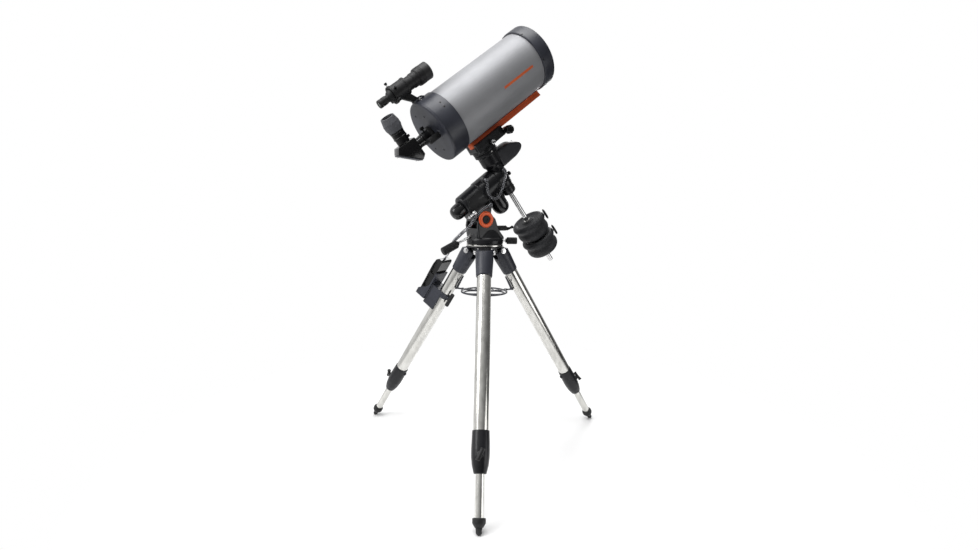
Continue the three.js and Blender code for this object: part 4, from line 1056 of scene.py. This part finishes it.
def make_corrector():
    front = 500 - sag(LENS_R)
    steps = [LENS_R * share / 16 for share in range(17)]
    rear = [(radius, front - 16 + sag(radius)) for radius in steps]
    fore = [(radius, front + sag(radius)) for radius in reversed(steps)]
    lens = turned([*rear, *fore], "y", 0.4, WIDE)
    on_tube("corrector_glass", lens, "optical_glass", ["corrector_lens"])
    back = front - 16
    shade = turned([(0, back - 3), (18, back - 3), (23, back - 38), (24.5, back - 38), (19.5, back - 0.4),
                    (0, back - 0.4)], "y", 0.3)
    on_tube("secondary_shade", shade, "matte_black", ["secondary_baffle"])


def make_inside():
    tube = turned([(18.5, 8.4), (30, 8.4), (30, 14), (20, 14), (20, 120), (15, 300), (13.8, 300),
                   (18.5, 120)], "y", 0.5)
    on_tube("baffle_sleeve", tube, "matte_black", ["baffle_tube"])
    dish = [(radius, 46 + radius**2 / 1800) for radius in range(96, 23, -8)]
    disc = turned([(20.5, 22), (28, 22), (28, 26), (96, 26), *dish, (24, 62), (20.5, 62)], "y", 0.4,
                  WIDE)
    hole = bore(4.7, 10, 41, "y", (FOCUS_X, 0, FOCUS_Z))
    piece("primary_glass", combined(disc, cuts=[hole]), TUBE, "mirror", "mirror", ["primary_mirror"])


def make_focuser():
    put = placer(TUBE @ shift(FOCUS_X, 0, FOCUS_Z), "focuser")
    grip = knob(11, -47.8, -3, "y", 20, 0.8, 0.4)
    put("focus_grip", grip, "matte_black", ["focus_knob"])
    put("focus_stem", rod(4, -6, 30, "y"), "steel")
    button = rod(7.5, -48.2, -46.5, "y", 0.6)
    put("focus_button", button, "black_aluminium")


def make_dovetail():
    half, bottom = 22, -132
    section = [(-half, bottom), (half, bottom), (half, bottom + 3), (17, bottom + 15), (17, -111),
               (-17, -111), (-17, bottom + 15), (-half, bottom + 3)]
    bar = spun(plate(section, -453, -93, 0.8, 0), 0, 0, -90)
    ender = combined(block((-70, 40, -170), (70, 93 + half, -80), 0),
                     cuts=[bore(half, -200, -60, "z", (0, 93 + half, 0), ROUND)])
    hollow = bore(TUBE_R + 0.3, 0, 500, "y", sides=WIDE)
    mesh = bevelled(combined(bar, cuts=[ender, hollow]), 0.5, 2)
    on_tube("dovetail", mesh, "orange", ["dovetail_bar"])
    for index, y in enumerate((104, 440)):
        screw = moved(spun(screw_head(5, 2.4), 180, 0, 0), 0, y, bottom + 0.6)
        on_tube(f"dovetail_screw_{index}", screw, "chrome")


# ---------------------------------------------------------------- viewing end
EYE_AT = -104


def make_visual_back():
    barrel = turned([(16.4, -42), (21, -42), (22, -40), (22, -30), (20.8, -29), (20.8, -14), (22, -13),
                     (22, -12), (26, -10), (26, -0.3), (20, -0.3), (20, 8), (16.4, 8)], "y", 0.8)
    hole = bore(2.9, 10, 40, "z", (0, -22, 0))

    def knurl(angle, at, height):
        return 0.5 * (0.5 + 0.5 * math.cos(56 * angle)) if at > 26.5 else 0

    ring = turned([(22.2, -11), (27.6, -11), (27.6, -1), (22.2, -1)], "y", 0.8, 56 * 6, knurl)
    on_tube("visual_back_barrel", combined(barrel, cuts=[hole]), "black_aluminium", ["visual_back"])
    on_tube("visual_back_ring", ring, "matte_black")
    place = TUBE @ shift(0, -22, 0)
    piece("back_screw_grip", knob(8, 27, 37.8, "z", 16, 0.7), place, "back_screw", "black_aluminium",
          ["visual_back_screw"])
    piece("back_screw_stem", rod(2.8, 16.8, 29, "z"), place, "back_screw", "black_aluminium")


def make_diagonal():
    put = placer(TUBE, "diagonal")
    outline = [(-152, 12), (-86, -50), (-70, -38), (-70, 28), (-139, 30)]
    body = plate(outline, -22, 22, 2, 0)
    nose = turned([(0, -72), (15.8, -72), (15.8, -14), (0, -14)], "y", 0.8)
    collar = turned([(0, -74), (20, -74), (20, -63), (19, -62), (19, -50), (20, -49), (20, -42.8),
                     (0, -42.8)], "y", 0.8)
    holder = moved(turned([(0, 24), (21, 24), (21, 30), (23, 32), (23, 49.8), (0, 49.8)], "z", 1),
                   0, EYE_AT, 0)
    pocket = moved(spun(block((-16, -19, -3.4), (16, 19, 8), 0), -45, 0, 0), 0, EYE_AT, 0)
    cuts = [bore(14, EYE_AT, -10, "y"), bore(16.3, 14, 60, "z", (0, EYE_AT, 0)),
            bore(13.5, -4, 22, "z", (0, EYE_AT, 0)), pocket]
    mesh = combined(bevelled(body, 1.4), [nose, collar, holder], cuts)
    put("diagonal_shell", mesh, "gloss_black", ["diagonal_body"])
    lid_line = [(-150.6, 11.6), (-87.4, -47.7), (-89.8, -50.2), (-153, 9.2)]
    lid = plate([(y - 0.9, z - 0.9) for y, z in lid_line], -21.4, 21.4, bevel=0.8)
    put("diagonal_lid", lid, "cell_paint")
    for index, (y, z) in enumerate(((-146, 3), (-96, -44))):
        for side in (-1, 1):
            head = spun(screw_head(2, 1.2), 180 - 43.2, 0, 0)
            put(f"lid_screw_{index}_{side + 1}", moved(head, 16.5 * side, y - 2.6, z - 1.6), "chrome")
    screw = combined(rod(2.5, 20, 26, "y"), [knob(5, 24, 31, "y", 12, 0.5)])
    put("holder_thumbscrew", moved(screw, 0, EYE_AT, 41), "black_aluminium")
    lens = moved(spun(block((-15.6, -18.6, -3), (15.6, 18.6, 0), 0.4), -45, 0, 0), 0, EYE_AT, 0)
    put("diagonal_glass", lens, "mirror", ["diagonal_mirror"])


def make_eyepiece():
    put = placer(TUBE @ shift(0, EYE_AT, 0), "eyepiece")
    barrel = turned([(12, 15), (15.8, 15), (15.8, 50.2), (25, 50.2), (25, 55), (24, 56), (24, 70),
                     (25, 71), (25, 76), (20, 76), (20, 116), (13, 116), (13, 64), (12, 64)], "z", 0.7)
    put("eyepiece_barrel", barrel, "gloss_black", ["eyepiece"])
    lens = turned([(0, 112), (12.9, 112), (12.9, 114), (8, 115.4), (0, 116)], "z", 0.3)
    put("eye_lens", lens, "optical_glass")
    cup = turned([(20.5, 76.4), (25.6, 76.4), (26.4, 82), (29.9, 92), (29.9, 106), (23.4, 132.6),
                  (19.6, 132.8), (16.6, 118), (20.5, 116.6)], "z", 0.7)
    slant = moved(spun(block((-50, -50, 0), (50, 50, 20), 0), 0, 9, 0), 0, 0, 129)
    put("eyecup_rubber", combined(cup, cuts=[slant]), "grey_rubber", ["eyecup"])
    ridge = pipe(29.6, 30.2, 104.6, 106.6, fillet=0.5)
    put("eyecup_ridge", ridge, "grey_rubber")
    lining = turned([(15.4, 116.4), (16.3, 117.6), (18.6, 127.2), (18.0, 127.2)], "z", 0.2)
    put("eyecup_lining", lining, "rubber")


# ---------------------------------------------------------------- finder
def make_finder():
    put = placer(FINDER, "finder")
    body = turned(
        [(6, -103), (13, -103), (14, -101), (14, -92), (13.2, -91.4), (13.2, -88), (14, -87.4), (14, -73),
         (12.6, -72), (12.6, -63), (17, -60), (23, -50), (23, 40), (25, 42), (25, 60), (29.8, 63),
         (30, 113.8), (27.4, 113.8), (27.4, 95), (24, 95), (20.5, 60), (20.5, -46), (6, -56)], "y", 0.9)
    rings = [pipe(29.6, 30.5, 68 + 5 * index, 70.4 + 5 * index, "y", 0.5) for index in range(4)]
    put("finder_barrel", combined(body, rings), "matte_black", ["finder_tube"])
    lens = turned([(0, 95.4), (27, 95.4), (27, 98), (20, 99.8), (14, 100.7), (0, 101.6)], "y", 0.3)
    put("finder_glass", lens, "optical_glass", ["finder_lens"])
    eye = turned([(0, -102.4), (6.2, -102.4), (6.2, -99), (0, -98)], "y", 0.3)
    put("finder_eye_glass", eye, "optical_glass")


def make_finder_bracket():
    put = placer(FINDER, "finder_mount")
    sleeve = turned([(25.6, -48), (31, -48), (31, -38), (28.5, -36), (28.5, 6), (30, 8), (30, 15),
                     (25.6, 15)], "y", 1)
    foot = CELL_R + 1.3 - 174
    stem = plate([(8, foot), (42, foot), (42, foot + 6), (24, foot + 8), (10, -27), (-24, -27)],
                 -8.6, 8.6, 1.2, 0)
    sleeve = combined(sleeve, [bevelled(stem, 1.2)])
    put("finder_mount_body", sleeve, "matte_black", ["finder_bracket"])
    for index, angle in enumerate((90, 210, 330)):
        stud = moved(rod(2, 26.4, 38, "x"), 0, -43, 0)
        grip = moved(knob(5, 36, 43.8, "x", 12, 0.5), 0, -43, 0)
        put(f"aim_stud_{index}", spun(stud, 0, -angle, 0), "chrome")
        put(f"aim_grip_{index}", spun(grip, 0, -angle, 0), "black_aluminium")
    pin = moved(rod(4.4, 27.5, 36, "x", 1), 0, -30, 0)
    put("aim_spring", spun(pin, 0, -32, 0), "black_aluminium")


# ---------------------------------------------------------------- curly cords
DEC_CORD_ROUTE = [
    (36.6, -24.7, 1049.3), (47, -24.7, 1049.3), (56, -26, 1035), (57, -22, 1003), (57, -2, 982),
    (57, 20, 988), (57, 36, 1014), (60, 43, 1048), (63, 47, 1072), (54, 48.1, 1087.3),
    (44.6, 48.1, 1087.3),
]
HAND_CORD_ROUTE = [
    (44.6, -6, 960.4), (54, -6, 960.4), (64, -18, 957), (66, -44, 946), (68, -73, 920), (60, -100, 880),
    (36, -110, 862), (0, -112, 842), (-50, -106, 820), (-108, -88, 792), (-144.5, -83.4, 768),
    (-159.4, -92, 741.6),
]
WIRE_R = 1.3  # of the lead itself
CURL_R = 5.15  # from the helix's axis to the lead's middle
PITCH = 5.8
TURN_STEPS = 14
LEAD_IN_TURNS = 2.2  # at each end, where the helix grows from a straight lead


def smooth_route(points, step):
    """A Catmull-Rom curve through the points, sampled evenly."""
    knots = [Vector(point) for point in points]
    knots = [2 * knots[0] - knots[1], *knots, 2 * knots[-1] - knots[-2]]
    fine = []
    for index in range(1, len(knots) - 2):
        before, start, end, after = knots[index - 1:index + 3]
        for part in range(60):
            t = part / 60
            fine.append(
                0.5 * (2 * start + (end - before) * t
                       + (2 * before - 5 * start + 4 * end - after) * t * t
                       + (3 * start - before - 3 * end + after) * t**3)
            )
    fine.append(knots[-2])
    even, travelled, goal = [fine[0]], 0.0, step
    for here, there in zip(fine, fine[1:]):
        gap = (there - here).length
        while travelled + gap >= goal:
            even.append(here.lerp(there, (goal - travelled) / gap))
            goal += step
        travelled += gap
    return even


def carried(line):
    """Each point of a line with two directions across it, which twist as little as they can."""
    side = (line[1] - line[0]).orthogonal().normalized()
    for index, point in enumerate(line):
        ahead = (line[min(index + 1, len(line) - 1)] - line[max(index - 1, 0)]).normalized()
        side = (side - ahead * side.dot(ahead)).normalized()
        yield point, side, ahead.cross(side)


def curl(points):
    """The helix of the lead round its route, straight for a little way at each end."""
    route = smooth_route(points, PITCH / TURN_STEPS)
    line = []
    for index, (point, side, other) in enumerate(carried(route)):
        angle = 2 * math.pi * index / TURN_STEPS
        share = min(1.0, min(index, len(route) - 1 - index) / (LEAD_IN_TURNS * TURN_STEPS))
        reach = CURL_R * share * share * (3 - 2 * share)
        line.append(point + side * reach * math.cos(angle) + other * reach * math.sin(angle))
    return line


def tube_along(line, radius, sides=8):
    """A tube of one radius along a line, closed at its ends."""
    points, faces = [], []
    for point, side, other in carried(line):
        for corner in range(sides):
            angle = 2 * math.pi * corner / sides
            points.append(point + side * radius * math.cos(angle) + other * radius * math.sin(angle))
    for index in range(len(line) - 1):
        for corner in range(sides):
            low, after = index * sides + corner, index * sides + (corner + 1) % sides
            faces.append((low, after, after + sides, low + sides))
    last = (len(line) - 1) * sides
    faces += [tuple(range(sides))[::-1], tuple(last + corner for corner in range(sides))]
    return mesh_from([tuple(point) for point in points], faces)


def length_of(line):
    return sum((there - here).length for here, there in zip(line, line[1:]))


def make_cord(name, node, points, ends, bend):
    """A curly cord. bend, the stretch of its line that passes from its body to its end's, is not used."""
    line = curl(points)
    lead = piece(name, tube_along(line, WIRE_R), GROUND, None, "cord_rubber", [node], sharp=80)
    row_point(bend[0])
    row_point(bend[1])
    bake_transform(lead)
    path = [row_point(point) for point in line]
    for label, index, boot_body in (("start", 0, ends[0]), ("end", -1, ends[1])):
        out = (line[1] - line[0]) if index == 0 else (line[-2] - line[-1])
        frame_at = Matrix.Translation(line[index]) @ out.to_track_quat("Z", "Y").to_matrix().to_4x4()

        def rings(angle, at, height):
            return 0.5 if int(height / 1.4) % 2 and 2.5 < height < 8 else 0

        boot = turned([(1.55, -0.6), (5.4, -0.6), (5.4, 2), (4.2, 3), (3.6, 5), (3.1, 7.5), (2.4, 9.5),
                       (1.55, 9.5)], "z", 0.5, SMALL, rings)
        piece(f"{name}_boot_{label}", boot, frame_at, boot_body, "cord_rubber")
    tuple(path[0])
    length_of(line) * MM


DEC_BEND = ((57, 0, 1000), (60, 43, 1060))
HAND_BEND = ((0, -112, 842), (-150, -86, 756))
make_cord("dec_lead", "dec_cord", DEC_CORD_ROUTE, ("latitude", "right_ascension"), DEC_BEND)
make_cord("hand_lead", "hand_cord", HAND_CORD_ROUTE, ("latitude", "handset"), HAND_BEND)


# ---------------------------------------------------------------- the whole
for make in (make_hub, make_legs, make_tray, make_centre_rod, make_handset, make_cradle, make_yoke,
             make_north_bolt, make_latitude_cap, make_latitude_bolt, make_azimuth_bolts,
             make_polar_housing, make_polar_motor, make_polar_cover, make_polar_lever, make_dec_housing,
             make_dec_motor, make_dec_lever, make_counterweights, make_saddle, make_saddle_knobs,
             make_rear_cell, make_tube_shell, make_front_cell, make_corrector, make_inside,
             make_focuser, make_dovetail, make_visual_back, make_diagonal, make_eyepiece, make_finder,
             make_finder_bracket):
    make()
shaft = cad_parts["polar_shaft"]
shaft.data.materials.clear()
shaft.data.materials.append(LOOKS["steel"])


# ---------------------------------------------------------------- studio
FLOOR_R = 1.6
FLOOR_FADE = (0.75, 1.45)  # radii where the floor starts and stops to fade


def make_floor():
    """A pale round floor that fades out past the feet."""
    look = Look("floor")
    cloud = look.noise(1.5, 3)
    colour = look.ramp(cloud, (0.3, grey(0.90)), (0.7, grey(0.94)))
    reach = look.add("ShaderNodeVectorMath", {"operation": "LENGTH"})
    look.put(reach.inputs[0], look.place)
    cover = look.ranged(reach.outputs["Value"], 1.0, 0.0, *FLOOR_FADE)
    look.fill(look.shader, {"Base_Color": colour, "Roughness": 0.85, "Alpha": cover})
    sides = 64
    ring = [(*point, 0) for point in arc((0, 0), FLOOR_R, 0, 360, sides)[:-1]]
    mesh = bpy.data.meshes.new("floor")
    mesh.from_pydata(ring, [], [tuple(range(sides))])
    mesh.materials.append(look.material)
    linked("floor", mesh)


def make_light(name, at, size, power, aim=(0, 0, 0.9)):
    data = bpy.data.lights.new(name, "AREA")
    data.shape = "RECTANGLE"
    data.size, data.size_y = size
    data.energy = power
    lamp = linked(name, data)
    lamp.location = at
    lamp.rotation_euler = (Vector(at) - Vector(aim)).to_track_quat("Z", "Y").to_euler()


BRIGHT_SIDE = Vector((-0.62, -0.55, 0.55)).normalized()  # the studio's pale end
GLOW = (0.03, 0.85)  # how much the dark and the pale end light the object
BACKDROP = 1.0  # how bright the studio's walls look


def make_world():
    """A pale room whose light comes mostly from one end and from above."""
    world = bpy.data.worlds.new("studio")
    nodes = Nodes(world)
    towards = nodes.add("ShaderNodeVectorMath", {"operation": "DOT_PRODUCT"})
    nodes.put(towards.inputs[0], nodes.add("ShaderNodeTexCoord").outputs["Generated"])
    nodes.put(towards.inputs[1], BRIGHT_SIDE)
    glow = nodes.ranged(towards.outputs["Value"], *GLOW, -0.75, 0.9)
    seen = nodes.add("ShaderNodeLightPath").outputs["Is Camera Ray"]
    wall = nodes.add("ShaderNodeMix")
    for index, value in ((0, seen), (2, glow), (3, BACKDROP)):
        nodes.put(wall.inputs[index], value)
    background = nodes.tree.nodes["Background"]
    nodes.fill(background, {"Color": (1, 1, 1, 1), "Strength": wall.outputs[0]})
    bpy.context.scene.world = world


def make_studio():
    make_floor()
    make_world()
    bpy.context.scene.view_settings.view_transform = "Standard"
    make_light("key", (-0.2, -3.0, 2.6), (1.6, 2.6), 60)
    make_light("top", (0.2, -0.4, 4.2), (2.2, 2.2), 75)
    make_light("rim", (-2.4, 2.2, 2.4), (1.2, 2.4), 45)
    make_light("fill", (2.4, 1.7, 0.5), (1.8, 1.4), 16, (0, 0.1, 1.2))


make_studio()
